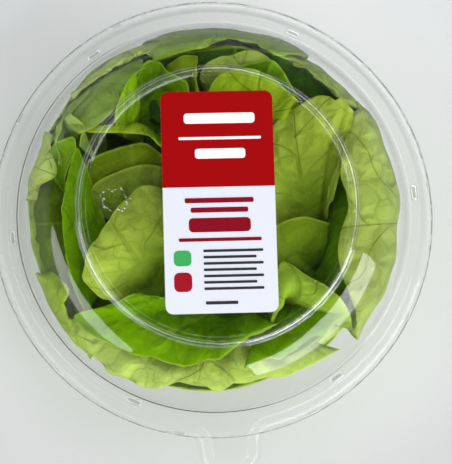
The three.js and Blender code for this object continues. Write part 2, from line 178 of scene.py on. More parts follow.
def leaf_ribs(tree, where):
    """Masks of the middle rib and of the side ribs. All lengths are in millimetres."""
    uv = add(tree, "ShaderNodeUVMap", uv_map="leaf_size").outputs[0]
    split = add(tree, "ShaderNodeSeparateXYZ", {0: uv})
    side = maths(tree, "MULTIPLY", split.outputs[0], MAP_UNIT)
    along = maths(tree, "MULTIPLY", split.outputs[1], MAP_UNIT)
    aside = maths(tree, "ABSOLUTE", side)
    wobble = add(tree, "ShaderNodeTexNoise", {"Vector": where, "Scale": 55.0, "Detail": 1.0}).outputs[0]
    wobble = maths(tree, "MULTIPLY_ADD", wobble, 9.0, -4.5)

    # Middle rib, wide at the root and thin at the margin
    half = ramp_up(tree, along, 10.0, 60.0, RIB_HALF["root"], RIB_HALF["margin"])
    rib = maths(tree, "DIVIDE", maths(tree, "ADD", aside, maths(tree, "MULTIPLY", wobble, 0.12)), half)
    rib = ramp_up(tree, rib, 1.6, 0.5)

    # Side ribs, one pitch apart, leaning outwards and out of step on the two sides
    out_of_step = maths(tree, "MULTIPLY", maths(tree, "SIGN", side), 0.25)
    lean = maths(tree, "MULTIPLY", maths(tree, "POWER", aside, 0.92), RIB_LEAN)
    field = maths(tree, "ADD", maths(tree, "SUBTRACT", along, lean), maths(tree, "MULTIPLY", wobble, 1.3))
    field = maths(tree, "ADD", maths(tree, "DIVIDE", field, RIB_PITCH), out_of_step)
    off = maths(tree, "ABSOLUTE", maths(tree, "SUBTRACT", maths(tree, "FRACT", field), 0.5))
    off = maths(tree, "MULTIPLY", off, RIB_PITCH * 0.72)
    return rib, ramp_up(tree, off, 0.46, 0.08)


print("Side ribs every", RIB_PITCH, "mm")

# %% [markdown]
# ## The net of veins
#
# Between the ribs the veins part and meet again, and the leaf is puffed up in each cell of that
# net. Voronoi cells have just this look, once noise has bent them. Their distance to the edge is
# nought on a vein, so one texture gives the vein's line and the cell's puff. It reads Object
# coordinates, which belong to the leaf and don't slide when the camera moves.

# %% Leaf net
NET_CELL = 11.0
FINER = 3.4
NET_BEND = 0.008


def leaf_net(tree, where):
    """Distance to the nearest vein, in the net and in the finer net inside it."""
    bend = add(tree, "ShaderNodeTexNoise", {"Vector": where, "Scale": 120.0, "Detail": 1.0}).outputs[1]
    bent = add(tree, "ShaderNodeVectorMath", {0: bend, 1: (NET_BEND,) * 3}, operation="MULTIPLY")
    bent = add(tree, "ShaderNodeVectorMath", {0: where, 1: bent.outputs[0]}).outputs[0]
    return [add(tree, "ShaderNodeTexVoronoi", {"Vector": bent, "Scale": 1000 * finer / NET_CELL},
                feature="DISTANCE_TO_EDGE").outputs["Distance"] for finer in (1, FINER)]


print("Net cells about", NET_CELL, "mm across")

# %% [markdown]
# ## Greens
#
# A head has many greens, so a leaf's colour is an attribute of its points. It holds painted
# shade too: darker near the root, and deep green on leaves that lie in shadow. Soft patches vary
# it. On a pale leaf the veins are darker than the blade, and on a deep green one they are lighter,
# so the vein's colour follows the leaf's green. The margin is thin and pale, partly its own colour
# and partly painted glow where light comes through the thin edge.

# %% Leaf colour
VEIN = linear(104, 138, 14)
RIB = linear(124, 154, 40)
MARGIN_PALE_AND_GLOW = linear(176, 206, 70)
LIGHTER = (1.5, 1.4, 1.2)
SHARES = {"fine": 0.12, "net": 0.36, "side_rib": 0.38, "rib": 0.5, "edge": 0.55}


def leaf_colour_and_shade(tree, where, own, pale, cell, fine, rib, side_rib):
    """The blade's colour with its patches, veins, ribs and paler margin, partly painted glow."""
    to_margin = add(tree, "ShaderNodeAttribute", attribute_name="to_margin").outputs["Fac"]
    patch = add(tree, "ShaderNodeTexNoise", {"Vector": where, "Scale": 32.0, "Detail": 2.0}).outputs[0]
    base = levelled(tree, own, ramp_up(tree, patch, 0.3, 0.7, 0.84, 1.14))
    base = levelled(tree, base, ramp_up(tree, cell, 0.0, 0.3, 0.93, 1.06))
    vein = mix_colour(tree, pale, mix_colour(tree, 1.0, own, LIGHTER, "MULTIPLY"), VEIN)
    masks = {"fine": ramp_up(tree, fine, 0.08, 0.0), "net": ramp_up(tree, cell, 0.036, 0.0),
             "side_rib": side_rib}
    for name, mask in masks.items():
        base = mix_colour(tree, maths(tree, "MULTIPLY", mask, SHARES[name]), base, vein)
    base = mix_colour(tree, maths(tree, "MULTIPLY", rib, SHARES["rib"]), base, RIB)
    # The paler margin band is partly painted glow of light through the thin edge.
    return mix_colour(tree, ramp_up(tree, to_margin, 1.6, 0.1, 0.0, SHARES["edge"]), base, MARGIN_PALE_AND_GLOW)


print("Greens set")

# %% [markdown]
# ## Relief and light
#
# The puffed cells and sunk ribs are too fine for the mesh, so a Bump node tilts the normals. Light
# comes through a leaf. A subsurface shader would show that as well, but on a blade half a
# millimetre thick a mix of Principled and Translucent looks the same and renders faster.

# %% Leaf material
PUFF = 0.0011
THROUGH = (1.0, 1.0, 0.3)
THROUGH_SHARE = 0.36


def leaf_relief(tree, pale, cell, fine, rib, side_rib):
    """Puffed cells between sunk ribs. The ribs of a deep green leaf hardly sink."""
    rise = ramp_up(tree, cell, 0.0, 0.4)
    rise = maths(tree, "ADD", rise, maths(tree, "MULTIPLY", ramp_up(tree, fine, 0.0, 0.3), 0.07))
    sunk = maths(tree, "MULTIPLY_ADD", pale, 0.35, 0.05)
    for mask in (side_rib, rib):
        rise = maths(tree, "SUBTRACT", rise, maths(tree, "MULTIPLY", mask, sunk))
    return add(tree, "ShaderNodeBump", {"Strength": 0.9, "Distance": PUFF, "Height": rise}).outputs[0]


def leaf_finish():
    look, tree = new_material("butterhead_leaf")
    where = add(tree, "ShaderNodeTexCoord").outputs["Object"]
    own = add(tree, "ShaderNodeAttribute", attribute_name="leaf_colour_and_shade").outputs["Color"]
    pale = ramp_up(tree, add(tree, "ShaderNodeSeparateColor", {0: own}).outputs[1], 0.33, 0.45)
    rib, side_rib = leaf_ribs(tree, where)
    cell, fine = leaf_net(tree, where)
    base = leaf_colour_and_shade(tree, where, own, pale, cell, fine, rib, side_rib)
    bump = leaf_relief(tree, pale, cell, fine, rib, side_rib)
    skin = add(tree, "ShaderNodeBsdfPrincipled", {"Base Color": base, "Roughness": 0.42,
                                                  "Specular IOR Level": 0.04, "Normal": bump})
    through = mix_colour(tree, 1.0, base, THROUGH, "MULTIPLY")
    glow = add(tree, "ShaderNodeBsdfTranslucent", {"Color": through, "Normal": bump})
    both = add(tree, "ShaderNodeMixShader", {0: THROUGH_SHARE, 1: skin.outputs[0], 2: glow.outputs[0]})
    add(tree, "ShaderNodeOutputMaterial", {"Surface": both.outputs[0]})
    return look


LEAF = leaf_finish()
print("Leaf finish:", len(LEAF.node_tree.nodes), "nodes")

# %% [markdown]
# ## The shape of a leaf
#
# Each leaf is a fan of curves that start at its root and end on its margin. The margin is a short
# list of points, from one side of the leaf round its tip to the other side. A wrapper leaf runs
# down into the bowl, up the wall and folds in under the lid; a free leaf bows off the straight
# way. The pack holds all of them in, so a point that would pass through the plastic is pushed
# back inside. The CAD part makes its coarse leaves in the same way, so these lie on them.

# %% Room inside the pack
BLADE = 0.5
FLOOR_CLEAR = 2.0
PANEL_UNDER = 90.4
CROWN = [0, 0, 12]
FLANK = {"radius": 40, "height": 30}
WALL_CURVE = [(78, 24), (106, 72)]
LOW_CURVE = [(105, -4), (105, 60)]
STAND_OFF = {"below": 62, "over": 10, "most": 3}
ROOT_WIDTH = 10
ROOM_HEIGHTS = [1, 4.4, 28.4, 52, 57.5, 60.4, 66, 73.2, 79.2, 84.2, 87.8, 90.2]
ROOM_RADII = [60, 63.6, 75.3, 86.4, 87.6, 86.6, 84.3, 80.9, 76.8, 72, 66.5, 58]


def confine(points, gap):
    """Points moved back inside the pack, with a gap to its walls."""
    height = np.clip(points[..., 2], FLOOR_CLEAR + gap, PANEL_UNDER - gap - BLADE)
    across = np.hypot(points[..., 0], points[..., 1])
    limit = np.interp(height + gap * 0.5, ROOM_HEIGHTS, ROOM_RADII) - gap - BLADE / 2
    scale = np.minimum(1, limit / np.maximum(across, 1e-6))
    return np.stack([points[..., 0] * scale, points[..., 1] * scale, height], -1)


print("Room up to", PANEL_UNDER, "mm high, and a radius of", max(ROOM_RADII), "mm at the rim")

# %% Fan of one leaf
def root_of(leaf):
    """The root that a leaf names, or the crown for a low leaf, or a place on the head's flank."""
    if "root" in leaf:
        return np.array(leaf["root"], float)
    if leaf.get("low"):
        return np.array(CROWN, float)
    return around(FLANK["radius"], sum(leaf["span"]) / 2, FLANK["height"])


def leaf_fan(leaf, rows, columns):
    """Grid of points from root to margin (rows) and from side to side (columns)."""
    v = np.linspace(0, 1, columns + 1)
    u = np.linspace(0, 1, rows + 1)[:, None, None]
    margin = np.array(leaf["margin"], float)
    tip = smooth_along(margin, v)
    across = (margin[-1] - margin[0]) * (1, 1, 0)
    across /= np.linalg.norm(across)
    root = root_of(leaf) + (v[:, None] - 0.5) * leaf.get("root_width", ROOT_WIDTH) * across
    if "span" in leaf:
        angles = np.interp(v, [0, 1], leaf["span"])
        curve = LOW_CURVE if leaf.get("low") else leaf.get("curve", WALL_CURVE)
        first, second = (np.array([around(r, a, z) for a in angles]) for r, z in curve)
    else:
        bow = np.array(leaf["bow"]) * (1 - 0.6 * (2 * v[:, None] - 1) ** 2)
        first = root + (tip - root) / 3 + bow
        second = root + (tip - root) * 2 / 3 + bow
    s = 1 - u
    fan = s**3 * root + 3 * s * s * u * first + 3 * s * u * u * second + u**3 * tip
    under = np.clip((STAND_OFF["below"] - fan[..., 2]) / STAND_OFF["over"], 0, 1)
    gap = leaf.get("gap", 1.5)
    return confine(fan, gap + (0 if leaf.get("low") else STAND_OFF["most"] * under))


print("Low down, the upper leaves stand up to", STAND_OFF["most"], "mm further off the wall")

# %% [markdown]
# ## Ripples
#
# The fan alone is too smooth. Long soft waves go over the whole blade, and shorter ones grow
# towards the margin, as on the real leaf. A Displace modifier could do this too, but here the waves
# know how far the margin is. The random draws are seeded with the leaf's own number, so every run
# gives the same head.

# %% Ripples
SWELL = {"size": 0.36, "lengths": (34, 26, 19, 14), "even": 30}
RIPPLES = {21: 1.0, 12: 0.55, 7.5: 0.25}
RIPPLE_FADE = 9.0
TURN = 6.28


def arc_lengths(grid, axis):
    step = np.linalg.norm(np.diff(grid, axis=axis), axis=-1)
    start = np.zeros_like(np.take(step, [0], axis=axis))
    return np.concatenate([start, np.cumsum(step, axis=axis)], axis=axis)


def normals_of(grid):
    down = np.gradient(grid, axis=0)
    over = np.gradient(grid, axis=1)
    normal = np.cross(over, down)
    return normal / np.maximum(np.linalg.norm(normal, axis=-1, keepdims=True), 1e-9)


def rippled(leaf, grid, draw):
    """The fan with long soft waves all over, and short ones that grow towards the margin."""
    along, over = arc_lengths(grid, 0), arc_lengths(grid, 1)
    swell = np.zeros(grid.shape[:2])
    for length in SWELL["lengths"]:
        turn, shift = draw.uniform(0, math.pi), draw.uniform(0, TURN)
        slant = over * math.cos(turn) + along * math.sin(turn)
        swell += np.sin(slant * TURN / length + shift) * length / SWELL["even"]
    ripple = np.zeros(grid.shape[:2])
    for length, size in RIPPLES.items():
        ripple += size * np.sin(over[-1] * TURN / length + draw.uniform(0, TURN))[None, :]
    u = np.linspace(0, 1, grid.shape[0])[:, None]
    rise = SWELL["size"] * leaf.get("swell", 1) * swell * np.sin(math.pi * u) ** 0.7
    rise = rise + leaf.get("ripple", 1) * ripple * np.exp((along - along[-1]) / RIPPLE_FADE)
    return confine(grid + normals_of(grid) * rise[..., None], 0.5)


print("Long waves of", SWELL["lengths"], "mm")

# %% [markdown]
# ## Front, back and border
#
# A blade needs two sides, or light would pass through it as through a film. Solidify could give
# the thickness. Here the script makes both sides itself, because the blade gets thinner towards the
# margin. Each point then keeps its place on the leaf's map, its colour and its distance to the
# margin, for the finish to read.

# %% Build one leaf
LEAF_GRID = (44, 56)
FIRST_SEED = 100
THIN = {"share": 0.55, "reach": 6}


def two_sided(rows, columns):
    """Faces of a front and a back grid of points, closed round the border."""
    count = (rows + 1) * (columns + 1)
    spots = np.arange(count).reshape(rows + 1, columns + 1)
    a, b, c, d = (s.ravel() for s in (spots[:-1, :-1], spots[:-1, 1:], spots[1:, 1:], spots[1:, :-1]))
    loop = np.concatenate([spots[0, :-1], spots[:-1, -1], spots[-1, :0:-1], spots[:0:-1, 0]])
    after = np.roll(loop, -1)
    return np.concatenate([np.stack([a, b, c, d], 1), np.stack([d, c, b, a], 1) + count,
                           np.stack([after, loop, loop + count, after + count], 1)])


def colours_with_root_shade(leaf, along, to_margin):
    """Colour of each point: painted shade from the darker root colour near the root, then the blade's."""
    blade = linear(*leaf["colour"])
    # The darker root colour is painted shade, deep in the head near the root.
    root = linear(*leaf.get("root_shade_colour", leaf["colour"]))
    whole = along / np.maximum(along + to_margin, 1e-6)
    near = np.clip((0.75 - whole) / 0.5, 0, 1)[..., None]
    return (blade * (1 - near) + root * near).reshape(-1, 3)


def mark_points(mesh, size, shade, to_margin):
    """Write the map, the colour and the distance to the margin on both sides of a leaf."""
    corner = np.empty(len(mesh.loops), int)
    mesh.loops.foreach_get("vertex_index", corner)
    size = np.concatenate([size, size])
    mesh.uv_layers.new(name="leaf_size").data.foreach_set("uv", size[corner].ravel())
    shade = np.column_stack([shade, np.ones(len(shade))])
    colour = mesh.color_attributes.new(name="leaf_colour_and_shade", type="FLOAT_COLOR", domain="POINT")
    colour.data.foreach_set("color", np.concatenate([shade, shade]).ravel())
    margin = mesh.attributes.new(name="to_margin", type="FLOAT", domain="POINT")
    margin.data.foreach_set("value", np.tile(to_margin.ravel(), 2))


def build_leaf(number, leaf):
    rows, columns = LEAF_GRID
    draw = np.random.default_rng(FIRST_SEED + number)
    grid = rippled(leaf, leaf_fan(leaf, rows, columns), draw)
    along, over = arc_lengths(grid, 0), arc_lengths(grid, 1)
    to_margin = along[-1] - along
    rib = leaf.get("rib", 0.5) * columns
    at_rib = np.array([np.interp(rib, np.arange(columns + 1), row) for row in over])
    full = np.clip(to_margin / THIN["reach"], 0, 1)
    thick = BLADE / 2 * (THIN["share"] + (1 - THIN["share"]) * full)
    out = normals_of(grid) * thick[..., None]
    points = np.concatenate([(grid + out).reshape(-1, 3), (grid - out).reshape(-1, 3)])
    faces = two_sided(rows, columns).tolist()
    piece = make_piece(f"leaf_{leaf['name']}", points, faces, LEAF, "lettuce_leaves")
    size = np.stack([over - at_rib[:, None], along], -1).reshape(-1, 2) / MAP_UNIT
    mark_points(piece.data, size, colours_with_root_shade(leaf, along, to_margin), to_margin)
    return piece


print("Each leaf has", 2 * LEAF_GRID[0] * LEAF_GRID[1], "faces and a border")

# %% [markdown]
# ## The outer leaves
#
# Ten wrapper leaves lie against the wall all round. Each has a span of angles that it covers, a
# gap to the plastic that keeps it clear of its neighbours, and its folded-in margin. Their places
# are given in a list, because a head grows by no rule that could be written down.

# %% Greens by name
FRESH = (106, 152, 0)
MID = (152, 182, 30)
LIGHT = (163, 186, 84)
PALE = (182, 204, 100)
OLIVE = (128, 156, 20)
# The deep green below is painted shade, for leaves that lie in shadow.
DEEP_SHADE = (92, 136, 6)
SHADE = (64, 112, 0)
print("Seven greens, from", SHADE, "to", PALE)

# %% Wrapper leaves
WRAPPERS = [
    {"name": "right", "span": [36, -46], "gap": 2, "colour": (158, 179, 82),
     "margin": [[69, 46, 68], [61, 32, 77], [56, 14, 80], [58, -3, 79], [52, -20, 80],
                [54, -35, 78], [58, -47, 73], [60, -60, 64]]},
    {"name": "front", "span": [-38, -142], "colour": (172, 196, 84), "root_shade_colour": MID,
     "curve": [(70, 22), (82, 52)],
     "margin": [[57, -45, 50], [42, -60, 54], [25, -68, 52], [8, -72, 55], [-10, -72, 52],
                [-27, -68, 55], [-43, -59, 52], [-56, -46, 50]]},
    {"name": "back", "span": [114, 54], "gap": 0.8, "colour": (132, 164, 60),
     "curve": [(78, 26), (116, 82)],
     "margin": [[-4, 84, 64], [-12, 77, 72], [-23, 68, 78], [-10, 71, 79], [-1, 72, 79],
                [6, 75, 77], [15, 77, 76], [23, 74, 77], [31, 67, 79], [41, 69, 70]]},
    {"name": "back_right", "span": [64, 30], "gap": 3.0, "colour": LIGHT,
     "curve": [(78, 26), (112, 78)],
     "margin": [[27, 68, 70], [32, 67, 76], [40, 69, 75], [45, 66, 76], [50, 61, 77],
                [58, 57, 76], [66, 50, 74], [69, 44, 68]]},
    {"name": "back_low", "span": [116, 48], "gap": 6, "colour": MID,
     "margin": [[-26, 72, 66], [-8, 76, 71], [6, 77, 72], [18, 78, 71], [28, 72, 72],
                [40, 66, 68]]},
    {"name": "upper_left_outer", "span": [138, 92], "gap": 1.8, "colour": PALE,
     "curve": [(78, 26), (114, 80)],
     "margin": [[-58, 56, 60], [-50, 66, 68], [-38, 70, 72], [-30, 74, 72], [-22, 70, 75],
                [-12, 78, 70], [-2, 84, 62]]},
    {"name": "upper_left", "span": [150, 112], "gap": 4, "colour": (134, 162, 76),
     "margin": [[-62, 46, 70], [-57, 38, 77], [-46, 43, 80], [-39, 49, 81], [-35, 56, 81],
                [-28, 65, 80], [-29, 69, 77], [-30, 74, 70], [-38, 70, 66]]},
    {"name": "left_pale", "span": [172, 150], "gap": 1.4, "colour": PALE,
     "margin": [[-79, 11, 64], [-76, 17, 70], [-71, 19, 72], [-69, 22, 73], [-71, 30, 74],
                [-73, 40, 70]]},
    {"name": "left_hollow", "span": [200, 158], "gap": 3, "colour": (142, 172, 48),
     "margin": [[-72, -27, 60], [-77, -20, 62], [-81, -8, 63], [-82, 3, 63], [-79, 14, 64],
                [-74, 26, 64]]},
    {"name": "left_low", "span": [225, 194], "gap": 1.4, "colour": MID,
     "margin": [[-58, -60, 56], [-66, -50, 66], [-71, -39, 71], [-67, -32, 74], [-71, -25, 71],
                [-78, -22, 62]]},
]
print("Wrapper leaves:", len(WRAPPERS))

# %% [markdown]
# ## The inner leaves
#
# The folded leaves that show through the lid stand free. Each one has a root in the head, a bow
# that lifts it off the straight way to its margin, and its greens, with painted shade on the
# leaves that lie in shadow.

# %% Inner leaves
FREE_LEAVES = [
    {"name": "middle_right", "root": [44, -30, 52], "bow": [0, 0, 8], "colour": (118, 148, 26),
     "root_shade_colour": (66, 102, 4), "ripple": 0.3, "swell": 0.35,
     "margin": [[20, -44, 62], [15, -36, 68], [16, -20, 72], [25, -9, 73], [38, -5, 72],
                [51, -8, 66]]},
    {"name": "round_right", "root": [46, -10, 54], "bow": [-4, -2, 7], "colour": (160, 184, 60),
     "root_shade_colour": (118, 152, 24), "rib": 0.4,
     "margin": [[17, -28, 69], [16, -10, 73], [18, 10, 75], [20, 24, 77], [29, 37, 79], [39, 43, 82],
                [48, 47, 83], [57, 46, 82], [62, 49, 79], [64, 40, 78], [58, 20, 75], [55, 10, 74],
                [50, -2, 66]]},
    {"name": "front_tip", "root": [24, -40, 50], "bow": [8, -8, 12], "colour": (142, 174, 50),
     "ripple": 0.4, "swell": 0.3,
     "margin": [[20, -54, 66], [24, -40, 73], [25, -29, 77], [28, -25, 78], [35, -30, 78],
                [47, -38, 77], [55, -47, 73], [58, -56, 62]]},
    {"name": "front_rib", "root": [22, -40, 50], "bow": [2, -8, 14], "colour": FRESH,
     "margin": [[57, -48, 72], [45, -56, 69], [39, -59, 68], [30, -64, 67], [20, -67, 66],
                [8, -70, 64]]},
    {"name": "front_cup", "root": [4, -38, 54], "bow": [0, -4, 12], "colour": FRESH,
     "root_shade_colour": (76, 128, 0),
     "margin": [[24, -52, 71], [14, -56, 70], [4, -61, 70], [-6, -66, 69], [-20, -67, 68],
                [-36, -62, 69], [-53, -55, 70], [-66, -43, 70], [-49, -39, 76], [-37, -35, 78],
                [-24, -38, 78], [-4, -34, 72]]},
    {"name": "front_light", "root": [-6, -38, 46], "bow": [0, -6, 10], "colour": (182, 206, 92),
     "margin": [[-66, -44, 68], [-68, -53, 62], [-55, -65, 60], [-41, -75, 60], [-24, -75, 60],
                [-13, -74, 61], [-3, -80, 58], [6, -74, 60], [23, -75, 60], [37, -71, 60],
                [52, -64, 58]]},
    {"name": "left_cup", "root": [-44, 18, 50], "bow": [-8, 2, 6], "colour": (146, 174, 80),
     "margin": [[-68, 25, 74], [-70, 38, 76], [-67, 49, 74], [-62, 47, 77], [-57, 42, 78],
                [-59, 32, 77]]},
    {"name": "left_blade", "root": [-42, -18, 52], "bow": [-10, -4, 8], "colour": FRESH,
     "ripple": 0.4, "swell": 0.35,
     "margin": [[-60, -44, 66], [-65, -30, 70], [-67, -17, 73], [-68, -1, 76], [-66, 13, 77],
                [-60, 31, 77],
                [-56, 22, 74], [-52, 8, 68], [-48, -6, 62]]},
    # The olive greens of olive_low and olive_high are painted shade: these leaves lie in shadow.
    {"name": "olive_low", "root": [-32, -4, 54], "bow": [0, 0, 8], "colour": (116, 142, 44),
     "ripple": 0.3, "swell": 0.5,
     "margin": [[-56, 4, 66], [-54, 14, 72], [-44, 19, 76], [-32, 22, 76], [-22, 20, 76],
                [-12, 12, 73]]},
    {"name": "olive_high", "root": [-34, 6, 54], "bow": [0, 0, 8], "colour": (112, 140, 14),
     "ripple": 0.3, "swell": 0.5,
     "margin": [[-58, 16, 66], [-56, 25, 70], [-51, 28, 72], [-40, 31, 74], [-33, 32, 75],
                [-28, 31, 75], [-22, 26, 74], [-14, 18, 70]]},
    {"name": "heart", "root": [-24, -34, 54], "bow": [-2, -2, 14], "colour": (160, 184, 66),
     "root_shade_colour": (110, 146, 10),
     "margin": [[-44, -42, 68], [-55, -33, 74], [-61, -27, 76], [-57, -15, 80], [-53, -9, 82],
                [-47, -2, 83], [-42, 4, 84], [-33, 11, 84], [-22, 9, 84], [-12, 0, 80],
                [-10, -20, 74]]},
    {"name": "inner_left", "root": [-26, 34, 50], "bow": [-2, 8, 12], "colour": MID,
     "margin": [[-60, 42, 70], [-56, 38, 75], [-49, 37, 78], [-40, 36, 80], [-28, 34, 80],
                [-21, 28, 79], [-14, 34, 76]]},
    {"name": "cup_left", "root": [-24, 34, 52], "bow": [0, 6, 6], "colour": FRESH,
     "margin": [[-30, 40, 74], [-40, 40, 80], [-41, 44, 81], [-38, 51, 82], [-28, 66, 80],
                [-23, 68, 78], [-18, 64, 79], [-12, 59, 80], [-9, 54, 80], [-6, 42, 76]]},
    {"name": "cup_fold", "root": [-37, 36, 74], "root_width": 3, "bow": [0, 0, 2],
     "colour": (140, 186, 14),
     "ripple": 0.2, "swell": 0.3,
     "margin": [[-40, 37, 79], [-42, 40, 81], [-42, 45, 82], [-39, 52, 84], [-33, 63, 84],
                [-31, 57, 80], [-31, 48, 77], [-32, 41, 74]]},
    {"name": "olive_top", "root": [-10, 36, 52], "bow": [0, 6, 10], "colour": OLIVE,
     "margin": [[-22, 64, 70], [-13, 69, 74], [-4, 70, 76], [-5, 63, 77], [-4, 53, 77],
                [2, 44, 72]]},
    {"name": "inner_light", "root": [12, 34, 52], "bow": [0, 8, 10], "colour": LIGHT,
     "margin": [[-4, 58, 70], [-1, 65, 75], [6, 68, 77], [15, 70, 77], [21, 70, 77],
                [26, 68, 77], [31, 63, 76], [36, 54, 70]]},
    # inner_dark's deep green is painted shade: its face lies in shadow.
    {"name": "inner_dark", "root": [18, 30, 52], "bow": [0, 6, 10], "colour": DEEP_SHADE,
     "margin": [[6, 58, 76], [14, 63, 79], [24, 65, 80], [30, 64, 80], [34, 59, 80],
                [37, 53, 79], [42, 46, 74]]},
    {"name": "top_heart", "root": [16, 20, 56], "bow": [0, 2, 10], "colour": MID,
     "margin": [[-2, 44, 76], [2, 56, 81], [10, 61, 82], [18, 61, 83], [28, 57, 83],
                [35, 50, 82], [40, 43, 79], [40, 32, 72]]},
    # The under leaves lie in the head's shade, so their dark greens are painted shade.
    {"name": "under_right", "root": [30, -6, 40], "bow": [6, 0, 8], "colour": DEEP_SHADE,
     "root_shade_colour": SHADE,
     "margin": [[40, -58, 58], [58, -44, 64], [64, -22, 68], [66, 0, 69], [66, 22, 69],
                [62, 40, 69], [50, 58, 68]]},
    {"name": "left_fold", "root": [-66, 14, 66], "root_width": 2, "bow": [0, 0, 2], "colour": FRESH,
     "ripple": 0.2, "swell": 0.3,
     "margin": [[-70, 18, 72], [-72, 25, 73], [-73, 33, 74], [-67, 35, 76], [-61, 36, 78],
                [-60, 31, 78], [-63, 26, 77], [-66, 18, 74]]},
    {"name": "under_left", "root": [-34, 0, 46], "bow": [-6, 0, 10], "colour": (96, 126, 12),
     "root_shade_colour": (50, 84, 4), "ripple": 0.5,
     "margin": [[-46, -60, 58], [-68, -44, 61], [-79, -22, 61], [-83, 0, 61], [-80, 24, 63],
                [-66, 44, 70], [-52, 58, 72]]},
    # under_back's bluish dark green is painted shade with a painted reflection of the sky.
    {"name": "under_back", "root": [6, 30, 46], "bow": [0, 6, 10], "colour": (60, 92, 28),
     "root_shade_colour": SHADE,
     "margin": [[-46, 50, 70], [-30, 66, 72], [-8, 72, 73], [14, 73, 74], [36, 67, 75],
                [56, 54, 73], [62, 44, 70]]},
    {"name": "under_front", "root": [0, -30, 40], "bow": [0, -6, 8], "colour": DEEP_SHADE,
     "margin": [[-56, -46, 56], [-36, -62, 60], [-10, -70, 58], [14, -70, 58], [38, -62, 60],
                [56, -48, 62]]},
    {"name": "crown", "root": [2, -30, 56], "bow": [0, 0, 14], "colour": MID,
     "margin": [[-16, -32, 74], [-20, 0, 82], [-12, 30, 83], [8, 42, 82], [22, 24, 80],
                [24, -8, 77], [18, -34, 74]]},
]
print("Inner leaves:", len(FREE_LEAVES))

# %% [markdown]
# ## The low leaves
#
# Six broad leaves lie in the bowl under the rest. They come from one rule: each covers 74 degrees,
# neighbours overlap, and the ring is lowest at the front, where the photo shows the pale floor
# between the leaves and the rim.

# %% Low leaves
LOW_COUNT = 6
LOW_FIRST, LOW_HALF = 12, 37
LOW_RADIUS = 84
LOW_GAPS = (0.8, 2.15)
LOW_HEIGHT = {"middle": 38, "swing": 15, "lowest": -75, "shoulder": 9, "wave": 2.5}


def low_leaf(k):
    middle = LOW_FIRST + 360 / LOW_COUNT * k
    margin = []
    for i, across in enumerate((-1, -0.7, -0.25, 0.25, 0.7, 1)):
        angle = middle + across * LOW_HALF
        rise = LOW_HEIGHT["middle"]
        rise -= LOW_HEIGHT["swing"] * math.cos(math.radians(angle - LOW_HEIGHT["lowest"]))
        rise += LOW_HEIGHT["wave"] * math.sin(4 * k + 3 * i) - LOW_HEIGHT["shoulder"] * across**4
        margin.append(around(LOW_RADIUS, angle, rise))
    return {"name": f"low_{k}", "low": True, "span": [middle - LOW_HALF, middle + LOW_HALF],
            "gap": LOW_GAPS[k % 2], "margin": margin, "colour": MID}


leaves = [low_leaf(k) for k in range(LOW_COUNT)] + WRAPPERS + FREE_LEAVES
leaf_pieces = [build_leaf(number, leaf) for number, leaf in enumerate(leaves)]
print("Leaves:", len(leaf_pieces), "with", sum(len(p.data.polygons) for p in leaf_pieces), "faces")

# %% [markdown]
# ## The packed middle and the stem
#
# Between the folded leaves the head is dark, where the packed inner leaves lie in shade. A plain
# turned form stands for them, and its deep green is painted shade. The cut stem under it is a short
# cream stump. The Screw modifier can turn a profile, but the pack below has rings that leave the
# circle at its tab, so one function here turns them all.

# %% Turned forms
def turn_profile(profile, angles, reach=None):
    """Points and faces of a closed form turned from a [radius, height] list that starts and ends
    on the axis. reach gives the radius at an angle where the outline isn't round."""
    rings = profile[1:-1]
    points = [(0, 0, profile[0][1]), (0, 0, profile[-1][1])]
    for r, z in rings:
        for angle in angles:
            far = reach(angle, r) if reach else r
            points.append((far * math.cos(angle), far * math.sin(angle), z))
    count = len(angles)
    faces = []
    for k in range(count):
        after = (k + 1) % count
        faces.append((0, 2 + k, 2 + after))
        for ring in range(len(rings) - 1):
            low = 2 + ring * count
            faces.append((low + k, low + count + k, low + count + after, low + after))
        low = 2 + (len(rings) - 1) * count
        faces.append((1, low + after, low + k))
    return points, faces


def even(count):
    return np.arange(count) * 2 * math.pi / count


def simple_finish(name, colour, roughness, shine=0.5):
    look, tree = new_material(name)
    skin = add(tree, "ShaderNodeBsdfPrincipled", {"Base Color": (*linear(*colour), 1),
                                                  "Roughness": roughness, "Specular IOR Level": shine})
    add(tree, "ShaderNodeOutputMaterial", {"Surface": skin.outputs[0]})
    return look


print("Even turns of four sides:", np.degrees(even(4)).round(), "degrees")

# %% Middle and stem
HEART = [(0, 71.5), (13, 70.5), (28, 65), (42, 59), (52, 49), (53, 37), (43, 21.5), (21, 12.5), (0, 12)]
STEM = [(0, 9.7), (11.9, 9.7), (12.5, 2.1), (11.3, 0.9), (0, 0.9)]
# The packed middle's deep green is painted shade for the gaps between the leaves.
packed = simple_finish("packed_leaves_painted_shade", (70, 106, 14), 0.7, 0.1)
cut = simple_finish("cut_stem", (222, 217, 172), 0.5)
middle = make_piece("packed_middle", *turn_profile(HEART, even(48)), packed, "lettuce_leaves")
stem = make_piece("stem", *turn_profile(STEM, even(48)), cut, "lettuce_stem")
print("Middle", len(middle.data.polygons), "faces; stem", len(stem.data.polygons), "faces")

# %% [markdown]
# ## The clear plastic
#
# Both halves of the pack are thin clear sheet. Real refraction through two thin walls hardly
# bends anything and costs many samples, so the finish mixes a Transparent surface with a Glossy
# one. The lid's glossy share is 2 in 100 straight on and grows at a glancing angle. The facing
# output of Layer Weight gives that from both sides alike. Light that has to run along inside the
# wall is dimmed, so the clear share darkens where the sheet is seen edge on.

# %% Clear finish
GLOSS = {"power": 5.0, "roughness": 0.03}
EDGE_ON = {"power": 8.0, "tint": (0.12, 0.14, 0.10)}


